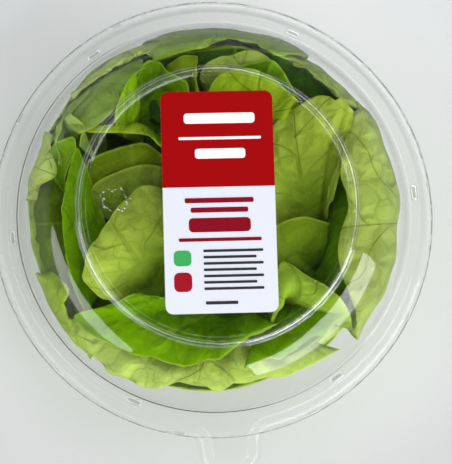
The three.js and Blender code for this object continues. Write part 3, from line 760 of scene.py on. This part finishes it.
def clear_finish(name, tint, straight, glancing):
    look, tree = new_material(name)
    facing = add(tree, "ShaderNodeLayerWeight", {"Blend": 0.5}).outputs["Facing"]
    grown = maths(tree, "POWER", facing, GLOSS["power"])
    share = maths(tree, "MULTIPLY_ADD", grown, glancing, straight)
    colour = mix_colour(tree, maths(tree, "POWER", facing, EDGE_ON["power"]), tint, EDGE_ON["tint"])
    clear = add(tree, "ShaderNodeBsdfTransparent", {"Color": colour})
    gloss = add(tree, "ShaderNodeBsdfGlossy", {"Color": (1, 1, 1, 1), "Roughness": GLOSS["roughness"]})
    both = add(tree, "ShaderNodeMixShader", {0: share, 1: clear.outputs[0], 2: gloss.outputs[0]})
    add(tree, "ShaderNodeOutputMaterial", {"Surface": both.outputs[0]})
    return look


CLEAR_LID = clear_finish("clear_lid_sheet", (0.998, 0.999, 0.998), 0.02, 0.35)
CLEAR_BOWL = clear_finish("clear_bowl_sheet", (0.999, 0.999, 0.999), 0.006, 0.1)
print("Clear finishes for the lid and the bowl")

# %% [markdown]
# ## Lid and bowl
#
# Both are turned from a profile, a list of radii and heights along the outside. Moved inwards by the
# wall's thickness, the same list gives the inside, so the wall is even. The tab is part of the
# lid's rim: past the flange's edge, a ring no longer follows a circle but the outline of the
# tongue and its two rounded corners.

# %% Pack profiles
WALL = 0.6
FIT_GAP = 0.3
FLANGE_EDGE = 93.5
PANEL_TOP = 91.0
LIP = 100.0
BOWL_LIP = 99.0
BEAD = [(57.6, PANEL_TOP), (58.7, 91.9), (60, 92.3), (61.4, 91.8), (62.4, 90.2)]
DOME = [(62.4, 90.2), (67, 87.8), (72.5, 84.2), (77.4, 79.2), (81.6, 73.2), (85, 66), (87.3, 60.4),
        (88.5, 57.9)]
RIM = [(88.5, 57.9), (FLANGE_EDGE, 57.9), (97, 51.5), (97.7, 50.9), (LIP, 50.9)]
BOWL_WALL = [(0, 0), (57.5, 0), (61.6, 1.2), (64.3, 4.4), (76, 28.4), (87.2, 52), (88.2, 55)]
print("Lid", PANEL_TOP, "mm high and", 2 * LIP, "mm wide")

# %% [markdown]
# ## Working on a profile
#
# Four small functions turn a rough profile into a fine one. The first runs a smooth curve through
# its points. The second cuts each corner twice, as a bend in formed sheet. The third adds stations
# beside the ends of a flat run, so that smooth shading doesn't round it. The last moves the profile
# to the side, which gives the wall its thickness.

# %% Profile functions
def spline(points, per_side=4):
    t = np.linspace(0, 1, (len(points) - 1) * per_side + 1)
    return [tuple(p[:2]) for p in smooth_along([(*p, 0) for p in points], t)]


def soften(profile, reach=0.9):
    """Each corner of a profile cut twice, so that it looks bent and not folded."""
    for size in (reach, reach / 3):
        p = [np.array(q, float) for q in profile]
        made = [p[0]]
        for before, here, after in zip(p, p[1:], p[2:]):
            for other in (before, after):
                length = np.linalg.norm(other - here)
                made.append(here + (other - here) * min(size / length, 0.3))
        profile = [tuple(q) for q in (*made, p[-1])]
    return profile


def hold(profile, near=0.25, long=1.5):
    """Extra stations close to both ends of each long flat run, so that its shading stays flat."""
    made = [profile[0]]
    for start, end in zip(profile, profile[1:]):
        a, b = np.array(start, float), np.array(end, float)
        length = np.linalg.norm(b - a)
        if length > long:
            step = (b - a) * near / length
            made += [tuple(a + step), tuple(b - step)]
        made.append(end)
    return made


def inset(profile, distance):
    """The profile moved to the right of its run, with mitred corners."""
    p = np.array(profile, float)
    moved = []
    for i, here in enumerate(p):
        into = here - p[i - 1] if i else p[1] - here
        out = p[i + 1] - here if i < len(p) - 1 else into
        into, out = into / np.linalg.norm(into), out / np.linalg.norm(out)
        side = np.array([into[1] + out[1], -into[0] - out[0]])
        side /= np.linalg.norm(side)
        mitre = distance / max(side[0] * into[1] - side[1] * into[0], 0.4)
        moved.append((max(here[0] + side[0] * mitre, 0), here[1] + side[1] * mitre))
    return moved


print("Bead drawn with", len(spline(BEAD, 8)), "stations")

# %% Outline of the tab
TAB = {"half": 8, "end": 109.7, "corner": 3, "fillet": 12}


def rim_reach(angle, radius):
    """Distance from the axis to the rim's outline at an angle, for a ring of this radius."""
    if radius <= FLANGE_EDGE - 1:
        return radius
    offset = radius - FLANGE_EDGE
    half, end = TAB["half"] + offset, TAB["end"] + offset
    away = abs(math.atan2(math.sin(angle + math.pi / 2), math.cos(angle + math.pi / 2)))
    fillet_x = TAB["half"] + TAB["fillet"]
    fillet_y = math.sqrt((FLANGE_EDGE + TAB["fillet"]) ** 2 - fillet_x**2)
    corner_x, corner_y = TAB["half"] - TAB["corner"], TAB["end"] - TAB["corner"]

    def arc_hit(x, y, size, side):
        along = x * math.sin(away) + y * math.cos(away)
        beside = x * math.cos(away) - y * math.sin(away)
        return along + side * math.sqrt(max(size**2 - beside**2, 0))

    if away >= math.atan2(fillet_x, fillet_y):
        return radius
    if away >= math.atan2(half, fillet_y):
        return arc_hit(fillet_x, fillet_y, TAB["fillet"] - offset, -1)
    if away >= math.atan2(half, corner_y):
        return half / math.sin(away)
    if away >= math.atan2(corner_x, end):
        return arc_hit(corner_x, corner_y, TAB["corner"] + offset, 1)
    return end / math.cos(away)


print("Rim reaches", round(rim_reach(-math.pi / 2, LIP), 1), "mm at the tab")

# %% Turn the lid and the bowl
ROUND_SIDES = 320
BESIDE_TAB, TAB_STEP = 11.2, 0.4
RIM_BEND, BASE_BEND = 0.35, 1.0


def tab_angles(count, beside, step):
    """Even angles, and closer ones on both sides of the tab."""
    near = np.radians(np.arange(-beside, beside + step / 2, step) - 90)
    wide = even(count) - math.pi
    rest = wide[np.abs(wide + math.pi / 2) > math.radians(beside + step)]
    return np.sort(np.concatenate([near, rest]))


def bent_rim(profile):
    return hold(soften(profile, RIM_BEND)[1:])


panel = hold([(0, PANEL_TOP), BEAD[0]])
lid_outside = panel + spline(BEAD, 8)[1:] + spline(DOME, 5)[1:-3] + bent_rim([DOME[-2]] + RIM)
lid_inside = inset(lid_outside, WALL)[::-1]
lid_angles = tab_angles(ROUND_SIDES, BESIDE_TAB, TAB_STEP)
lid_form = turn_profile(lid_outside + lid_inside, lid_angles, rim_reach)
lid = make_piece("lid_sheet", *lid_form, CLEAR_LID, "lid")

bowl_rim = bent_rim(inset(RIM, WALL + FIT_GAP))
bowl_rim[-1] = (BOWL_LIP, bowl_rim[-1][1])
bowl_wall = hold(soften(BOWL_WALL, BASE_BEND))
bowl_outside = bowl_wall + bent_rim(inset(RIM, 2 * WALL + FIT_GAP))
bowl_outside[-1] = (BOWL_LIP, bowl_outside[-1][1])
bowl_inside = inset(bowl_wall, -WALL)[::-1]
bowl_form = turn_profile((bowl_outside + bowl_rim[::-1] + bowl_inside)[::-1], even(ROUND_SIDES))
bowl = make_piece("bowl_sheet", *bowl_form, CLEAR_BOWL, "bowl")
print("Lid", len(lid.data.polygons), "faces; bowl", len(bowl.data.polygons), "faces")

# %% [markdown]
# ## Sheen on the bead
#
# The outer half of the raised bead catches a soft line of light all round. More gloss on the whole
# lid would veil the leaves, so only this half gets it, from a film two hundredths of a
# millimetre thick inside the bead's wall.

# %% Bead sheen
SHEEN = {"from": 60.1, "sunk": 0.08, "thick": 0.02}


def turn_loop(loop, angles):
    """Points and faces of a closed [radius, height] loop turned about the axis."""
    points = [(r * math.cos(a), r * math.sin(a), z) for a in angles for r, z in loop]
    count, n = len(angles), len(loop)
    faces = []
    for k in range(count):
        here, after = k * n, (k + 1) % count * n
        faces += [(here + i, after + i, after + (i + 1) % n, here + (i + 1) % n) for i in range(n)]
    return points, faces


sheen_top = [(r, z - SHEEN["sunk"]) for r, z in spline(BEAD, 8) if r > SHEEN["from"]]
sheen_loop = sheen_top + inset(sheen_top, SHEEN["thick"])[::-1]
SHEEN_LOOK = clear_finish("clear_bead_sheet", (1.0, 1.0, 1.0), 0.075, 0.3)
bead_sheen = make_piece("bead_sheen", *turn_loop(sheen_loop, even(ROUND_SIDES)), SHEEN_LOOK, "lid")
print("Bead sheen", len(bead_sheen.data.polygons), "faces")

# %% [markdown]
# ## Crease at the dome's foot
#
# Where the dome meets the flange, the plastic bends sharply and shows as a thin dark line on the
# left and at the front. It is a thin bead along an arc, tapered at both ends, with a finish that
# only dims what lies behind it. That dark line is painted shade, for the light that the sharp bend
# turns away.

# %% Dome foot crease
CREASE = {"radius": 88.6, "height": 57.7, "first": 112, "last": 318, "thick": 0.24,
          "taper": 0.08, "sides": 6, "steps": 160}


def crease_finish():
    look, tree = new_material("crease_painted_dark_line")
    # Painted shade: a dim tint for the light that the bend turns away.
    clear = add(tree, "ShaderNodeBsdfTransparent", {"Color": (0.42, 0.44, 0.40, 1)})
    add(tree, "ShaderNodeOutputMaterial", {"Surface": clear.outputs[0]})
    return look


def tapered_bead(bead):
    """Points and faces of a thin bead along an arc, closed at both ends."""
    sides, steps = bead["sides"], bead["steps"]
    points, faces = [], []
    for k in range(steps + 1):
        t = k / steps
        size = bead["thick"] * (bead["taper"] + (1 - bead["taper"]) * math.sin(math.pi * t) ** 0.5)
        angle = bead["first"] + (bead["last"] - bead["first"]) * t
        for turn in even(sides):
            points.append(around(bead["radius"] + size * math.cos(turn), angle,
                                 bead["height"] + size * math.sin(turn)))
    for k in range(steps):
        for side in range(sides):
            a, b = k * sides + side, k * sides + (side + 1) % sides
            faces.append((a, b, b + sides, a + sides))
    faces.append(tuple(range(sides)))
    faces.append(tuple(steps * sides + side for side in reversed(range(sides))))
    return points, faces


crease = make_piece("dome_foot_crease", *tapered_bead(CREASE), crease_finish(), "lid")
print("Crease", len(crease.data.polygons), "faces")

# %% [markdown]
# ## Lugs and marks on the rim
#
# Six small lugs stand on the lid's flange and ten short marks on its lip. They repeat by a rule,
# so Geometry Nodes place them: points on a ring, and a rounded block on each, turned to face out.
# The tree ends in real geometry with its material set, and the result is kept as a plain mesh. The
# blocks shine more than the sheet does, because each is a small solid with edges all round.

# %% A ring of blocks
LUG_LOOK = clear_finish("clear_lug", (0.95, 0.96, 0.95), 0.14, 0.9)
LUGS = {"count": 6, "radius": 91, "height": RIM[0][1], "first": 3, "size": (3.0, 7.0, 2.0)}
MARKS = {"count": 10, "radius": 98.5, "height": RIM[-1][1], "first": -31, "size": (1.5, 6.6, 1.4)}


def block_ring_tree(look):
    tree = bpy.data.node_groups.new("block_ring", "GeometryNodeTree")
    tree.interface.new_socket("Geometry", in_out="OUTPUT", socket_type="NodeSocketGeometry")
    sockets = {}
    for name, kind in (("Count", "NodeSocketInt"), ("Radius", "NodeSocketFloat"),
                       ("Height", "NodeSocketFloat"), ("First", "NodeSocketFloat"),
                       ("Size", "NodeSocketVector")):
        sockets[name] = tree.interface.new_socket(name, in_out="INPUT", socket_type=kind).identifier
    given = add(tree, "NodeGroupInput").outputs
    index = add(tree, "GeometryNodeInputIndex").outputs[0]
    step = maths(tree, "DIVIDE", 2 * math.pi, given["Count"])
    angle = maths(tree, "MULTIPLY_ADD", index, step, given["First"])
    x = maths(tree, "MULTIPLY", maths(tree, "COSINE", angle), given["Radius"])
    y = maths(tree, "MULTIPLY", maths(tree, "SINE", angle), given["Radius"])
    place = add(tree, "ShaderNodeCombineXYZ", {0: x, 1: y, 2: given["Height"]}).outputs[0]
    turn = add(tree, "ShaderNodeCombineXYZ", {2: angle}).outputs[0]
    points = add(tree, "GeometryNodePoints", {"Count": given["Count"], "Position": place}).outputs[0]
    block = add(tree, "GeometryNodeMeshCube", {"Size": given["Size"], "Vertices X": 3,
                                               "Vertices Y": 5, "Vertices Z": 3}).outputs[0]
    block = add(tree, "GeometryNodeSubdivisionSurface", {"Mesh": block, "Level": 2}).outputs[0]
    ring = add(tree, "GeometryNodeInstanceOnPoints", {"Points": points, "Instance": block,
                                                      "Rotation": turn}).outputs[0]
    real = add(tree, "GeometryNodeRealizeInstances", {0: ring}).outputs[0]
    shaded = add(tree, "GeometryNodeSetShadeSmooth", {0: real}).outputs[0]
    done = add(tree, "GeometryNodeSetMaterial", {"Geometry": shaded, "Material": look}).outputs[0]
    add(tree, "NodeGroupOutput", {0: done})
    return tree, sockets


def ring_of_blocks(name, count, radius, height, first, size):
    """A ring of blocks as a plain mesh. Lengths are in millimetres, and first is in degrees."""
    holder = bpy.data.objects.new(name, bpy.data.meshes.new(name))
    bpy.context.scene.collection.objects.link(holder)
    tree, sockets = block_ring_tree(LUG_LOOK)
    modifier = holder.modifiers.new("ring", "NODES")
    modifier.node_group = tree
    values = {"Count": count, "Radius": radius * MM, "Height": height * MM,
              "First": math.radians(first), "Size": Vector(size) * MM}
    for key, value in values.items():
        modifier[sockets[key]] = value
    graph = bpy.context.evaluated_depsgraph_get()
    mesh = bpy.data.meshes.new_from_object(holder.evaluated_get(graph))
    holder.modifiers.clear()
    holder.data = mesh
    dress(holder, "lid")
    return holder


lugs = ring_of_blocks("lid_lugs", **LUGS)
marks = ring_of_blocks("lid_marks", **MARKS)
print("Lugs:", len(lugs.data.polygons), "faces; marks:", len(marks.data.polygons), "faces")

# %% [markdown]
# ## Drops under the lid
#
# A little water has gathered under the panel and hangs in a small ragged ring. Each drop is a flat
# dome, turned from three rings of eight points, and the random draws for their places and sizes
# have a fixed seed. Together they are one mesh, because nobody would move one drop alone.

# %% Drops under the lid
DROPS = {"count": 22, "middle": (-44.6, 5.0), "reach": (6.5, 5.0), "height": 90.28, "size": (0.25, 0.6),
         "depth": 0.6, "sides": 8, "seed": 5}
DROP_RINGS = [(0.55, 0.35), (0.9, 0.7), (1.0, 1.0)]


def drop(x, y, size, start):
    """Points and faces of one drop. start is the number of its first point."""
    sides, top = DROPS["sides"], DROPS["height"]
    deep = size * DROPS["depth"]
    points = [(x, y, top - deep)]
    for wide, rise in DROP_RINGS:
        for a in even(sides):
            points.append((x + size * wide * math.cos(a), y + size * wide * math.sin(a),
                           top - deep * (1 - rise**2)))
    points.append((x, y, top))
    last = start + len(points) - 1
    faces = []
    for side in range(sides):
        after = (side + 1) % sides
        faces.append((start, start + 1 + after, start + 1 + side))
        for ring in range(len(DROP_RINGS) - 1):
            low = start + 1 + ring * sides
            faces.append((low + side, low + after, low + sides + after, low + sides + side))
        faces.append((last, last - sides + side, last - sides + after))
    return points, faces


def drops_under_lid():
    draw = np.random.default_rng(DROPS["seed"])
    points, faces = [], []
    for k in range(DROPS["count"]):
        turn = 2 * math.pi * (k + draw.uniform(-0.4, 0.4)) / DROPS["count"]
        far = draw.uniform(0.75, 1.1)
        x = DROPS["middle"][0] + DROPS["reach"][0] * far * math.cos(turn)
        y = DROPS["middle"][1] + DROPS["reach"][1] * far * math.sin(turn)
        new_points, new_faces = drop(x, y, draw.uniform(*DROPS["size"]), len(points))
        points += new_points
        faces += new_faces
    return points, faces


WET = clear_finish("drop_sheen", (0.93, 0.96, 0.93), 0.3, 0.6)
drops = make_piece("lid_drops", *drops_under_lid(), WET, "lid")
print("Drops:", len(drops.data.polygons), "faces")

# %% [markdown]
# ## The label
#
# A plain paper sticker lies on the lid's flat top: a white rounded rectangle with a red field on
# its upper part, and generic printed bars and squares on both. Print is ink with almost no
# thickness, so each colour is a very thin slab that stands less than a tenth of a millimetre
# proud of the paper.

# %% Label slabs
LABEL = {"width": 49, "height": 97.5, "corner": 3.5, "x": 0.6, "y": 1.3, "turn": -2.3}
PAPER_LOW, PAPER_TOP = 91.3, 91.68
RED_TOP, PRINT_TOP = 91.72, 91.77


def rounded_outline(left, right, low, high, corner, steps=8):
    """Corner points of a box with rounded corners, anticlockwise."""
    outline = []
    centres = [(right - corner, low + corner), (right - corner, high - corner),
               (left + corner, high - corner), (left + corner, low + corner)]
    for quarter, (x, y) in enumerate(centres):
        for k in range(steps + 1):
            a = math.radians(-90 + 90 * quarter + 90 * k / steps)
            outline.append((x + corner * math.cos(a), y + corner * math.sin(a)))
    return outline


def slab(outlines, low, high):
    """Closed flat slabs on the label's own axes, turned and moved onto the panel."""
    c, s = math.cos(math.radians(LABEL["turn"])), math.sin(math.radians(LABEL["turn"]))
    points, faces = [], []
    for outline in outlines:
        start, n = len(points), len(outline)
        for z in (low, high):
            points += [(LABEL["x"] + c * x - s * y, LABEL["y"] + s * x + c * y, z) for x, y in outline]
        faces.append([start + k for k in reversed(range(n))])
        faces.append([start + n + k for k in range(n)])
        for k in range(n):
            after = (k + 1) % n
            faces.append((start + k, start + after, start + n + after, start + n + k))
    return points, faces


def label_piece(name, outlines, low, high, colour):
    look = simple_finish(name, colour, 0.42, 0.04)
    piece = make_piece(name, *slab(outlines, low, high), look, "label")
    piece.data.polygons.foreach_set("use_smooth", [False] * len(piece.data.polygons))
    return piece


print("Label", LABEL["width"], "by", LABEL["height"], "mm")

# %% Paper and red field
RED_LOW = 6.5
SUNK = 0.1
half_w, half_h = LABEL["width"] / 2, LABEL["height"] / 2
paper = rounded_outline(-half_w, half_w, -half_h, half_h, LABEL["corner"])
red_field = [(half_w, RED_LOW)] + [point for point in paper if point[1] > 0] + [(-half_w, RED_LOW)]
label_piece("label_paper", [paper], PAPER_LOW, PAPER_TOP, (212, 215, 224))
label_piece("label_red_field", [red_field], PAPER_TOP - SUNK, RED_TOP, (150, 2, 5))
print("Paper and red field made")

# %% [markdown]
# ## Print on the label
#
# Rows of round-ended bars stand where a label has its words, and two squares where it has small
# signs. Each row gives a middle, a width and a height on the label's own axes, so the layout can
# be changed without touching the mesh code.

# %% Printed bars
def bars(rows):
    """Outlines of round-ended bars, each a middle x, a middle y, a width and a height."""
    return [rounded_outline(x - w / 2, x + w / 2, y - h / 2, y + h / 2, min(h, w) * 0.3, 4)
            for x, y, w, h in rows]


WHITE_BARS = [(1, 36.8, 31, 4.6), (1, 28.0, 36, 1.2), (1, 21.2, 22, 4.4)]
RED_BARS = [(0, 0.6, 30, 2.2), (0, -3.6, 25, 2.2), (0, -10.2, 27, 6.2), (0, -16.6, 36, 1.5)]
SMALL_BARS = [(5.5 - (k % 2) * 1.5, -21.5 - 2.75 * k, 26 - (k % 2) * 3, 1.15) for k in range(7)]
SMALL_BARS.append((0, -44.2, 14, 1.4))
PRINT = [("label_red_print", RED_BARS, (128, 10, 28)),
         ("label_small_print", SMALL_BARS, (52, 48, 54)),
         ("label_green_square", [(-16.6, -24.6, 7.6, 6.8)], (60, 160, 84)),
         ("label_red_square", [(-16.6, -35.0, 7.8, 8.4)], (150, 20, 34))]
label_piece("label_white_print", bars(WHITE_BARS), RED_TOP - SUNK, PRINT_TOP, (236, 236, 240))
for name, rows, ink in PRINT:
    label_piece(name, bars(rows), PAPER_TOP - SUNK, PRINT_TOP, ink)
print("Printed pieces:", len(PRINT) + 1)

# %% [markdown]
# ## Floor
#
# The pack stands on a plain pale floor. Its colour holds painted light: it gets a little lighter
# towards the back, as a sweep does that is lit from there, and lighter again close round the pack,
# where it offsets the pack's shade. Clear plastic throws hardly any shadow. Cycles would let the
# glossy share of each wall throw one, so the clear pieces are told not to.

# %% Floor
FLOOR = {"half": 2500, "height": -0.2}
FLOOR_TINT = linear(200, 201, 201)


def floor_finish():
    """A pale sweep with painted light: a little lighter towards the back and close round the pack."""
    look, tree = new_material("pale_floor_painted_light")
    where = add(tree, "ShaderNodeTexCoord").outputs["Object"]
    split = add(tree, "ShaderNodeSeparateXYZ", {0: where})
    # Painted light: lighter towards the back, and lighter close round the pack to offset its shade.
    deep = ramp_up(tree, split.outputs[1], -0.16, 0.12, 0.82, 1.09)
    away = add(tree, "ShaderNodeVectorMath", {0: where}, operation="LENGTH").outputs["Value"]
    near = ramp_up(tree, away, 0.095, 0.16, 1.16, 1.0)
    colour = levelled(tree, FLOOR_TINT, maths(tree, "MULTIPLY", deep, near))
    skin = add(tree, "ShaderNodeBsdfPrincipled", {"Base Color": colour, "Roughness": 0.7,
                                                  "Specular IOR Level": 0.1})
    add(tree, "ShaderNodeOutputMaterial", {"Surface": skin.outputs[0]})
    return look


signs = [(-1, -1), (1, -1), (1, 1), (-1, 1)]
corners = [(x * FLOOR["half"], y * FLOOR["half"], FLOOR["height"]) for x, y in signs]
floor = make_piece("floor", corners, [(0, 1, 2, 3)], floor_finish())
for clear in (lid, bowl, lugs, marks, bead_sheen):
    clear.visible_shadow = False
print("Floor", 2 * FLOOR["half"] * MM, "m wide")

# %% [markdown]
# ## Soft light all round
#
# The world gives soft even light and is what the plastic mirrors. A bright ring high up, like the
# rim of a round canopy, draws the pale curve on the dome, and a low bright band lights the rim. The
# world is dim elsewhere, so the sheet stays clear.

# %% World
CANOPY = {"low": (0.70, 0.76), "high": (0.975, 0.96), "strength": 1.2}
HORIZON = {"edge": (0.12, 0.04), "strength": 0.4}
DIM = 0.05

world = bpy.data.worlds.new("studio")
bpy.context.scene.world = world
world.use_nodes = True
sky = world.node_tree
towards = add(sky, "ShaderNodeTexCoord").outputs["Generated"]
upwards = add(sky, "ShaderNodeSeparateXYZ", {0: towards}).outputs[2]
canopy = ramp_up(sky, upwards, *CANOPY["low"])
canopy = maths(sky, "MULTIPLY", canopy, ramp_up(sky, upwards, *CANOPY["high"]))
horizon = maths(sky, "MULTIPLY", ramp_up(sky, upwards, *HORIZON["edge"]), HORIZON["strength"])
strength = maths(sky, "ADD", maths(sky, "MULTIPLY_ADD", canopy, CANOPY["strength"], DIM), horizon)
sky.nodes["Background"].inputs[0].default_value = (0.95, 0.97, 1.0, 1)
sky.links.new(strength, sky.nodes["Background"].inputs[1])
print("World set")

# %% [markdown]
# ## Softboxes
#
# Two wide, low softboxes at the front left and the front right make the long curved highlights on
# the lid's shoulder. Two narrow ones above them draw lines along the bead, and one at the back
# lights the leaves there. A point lamp would give hard dots instead.

# %% Softboxes
AIM = (0, 0, 60)
LAMPS = {
    "low_right": {"azimuth": -46, "rise": 12, "far": 1.9, "size": (2.3, 1.2), "power": 68},
    "low_left": {"azimuth": -155, "rise": 11, "far": 1.9, "size": (2.1, 0.9), "power": 26,
                 "shape": "ELLIPSE"},
    "high_right": {"azimuth": -48, "rise": 52, "far": 2.0, "size": (2.2, 0.12), "power": 7},
    "high_left": {"azimuth": -152, "rise": 52, "far": 2.0, "size": (1.8, 0.1), "power": 4},
    "high_back": {"azimuth": 50, "rise": 60, "far": 2.0, "size": (1.6, 0.8), "power": 9},
}


def softbox(name, azimuth, rise, far, size, power, shape="RECTANGLE"):
    """An area lamp that faces the pack. far and size are in metres, and power is in watts."""
    lamp = bpy.data.lights.new(name, "AREA")
    lamp.shape = shape
    lamp.size, lamp.size_y = size
    lamp.energy = power
    box = bpy.data.objects.new(name, lamp)
    flat, up = math.cos(math.radians(rise)) * far, math.sin(math.radians(rise)) * far
    centre = Vector(AIM) * MM
    place = Vector(around(flat, azimuth, up)) + centre
    turn = (place - centre).to_track_quat("Z", "Y").to_matrix().to_4x4()
    box.matrix_world = Matrix.Translation(place) @ turn
    bpy.context.scene.collection.objects.link(box)


for name, settings in LAMPS.items():
    softbox(name, **settings)
print("Softboxes:", len(LAMPS))

# %% [markdown]
# ## Camera
#
# The camera was placed by the rings of the pack, whose sizes and heights are known: it looks down
# from almost straight above, a little from the front and the left. The focal length is written in
# pixels of the picture's frame and turned into the lens length that Blender wants.

# %% Camera
IMAGE = (452, 464)
CAMERA = {"lean_x": -3.39155, "lean_y": -7.15155, "roll": -3.99195, "focal_px": 2229.48,
          "aim": (4.496, -8.253, 60), "distance": 1000, "clip": (0.05, 20)}


def make_camera():
    back = Vector((math.tan(math.radians(CAMERA["lean_x"])), math.tan(math.radians(CAMERA["lean_y"])), 1))
    back.normalize()
    right = Vector((0, 1, 0)).cross(back).normalized()
    up = back.cross(right)
    roll = math.radians(CAMERA["roll"])
    side = right * math.cos(roll) + up * math.sin(roll)
    top = up * math.cos(roll) - right * math.sin(roll)
    place = (Vector(CAMERA["aim"]) + back * CAMERA["distance"]) * MM
    data = bpy.data.cameras.new("camera")
    data.sensor_width = 36
    data.lens = CAMERA["focal_px"] * data.sensor_width / max(IMAGE)
    data.clip_start, data.clip_end = CAMERA["clip"]
    camera = bpy.data.objects.new("camera", data)
    camera.matrix_world = Matrix.Translation(place) @ Matrix((side, top, back)).transposed().to_4x4()
    bpy.context.scene.collection.objects.link(camera)
    bpy.context.scene.camera = camera
    return camera


camera = make_camera()
bpy.context.scene.view_settings.view_transform = "Standard"
bpy.context.scene.cycles.transparent_max_bounces = 24
print("Lens", round(camera.data.lens, 1), "mm")
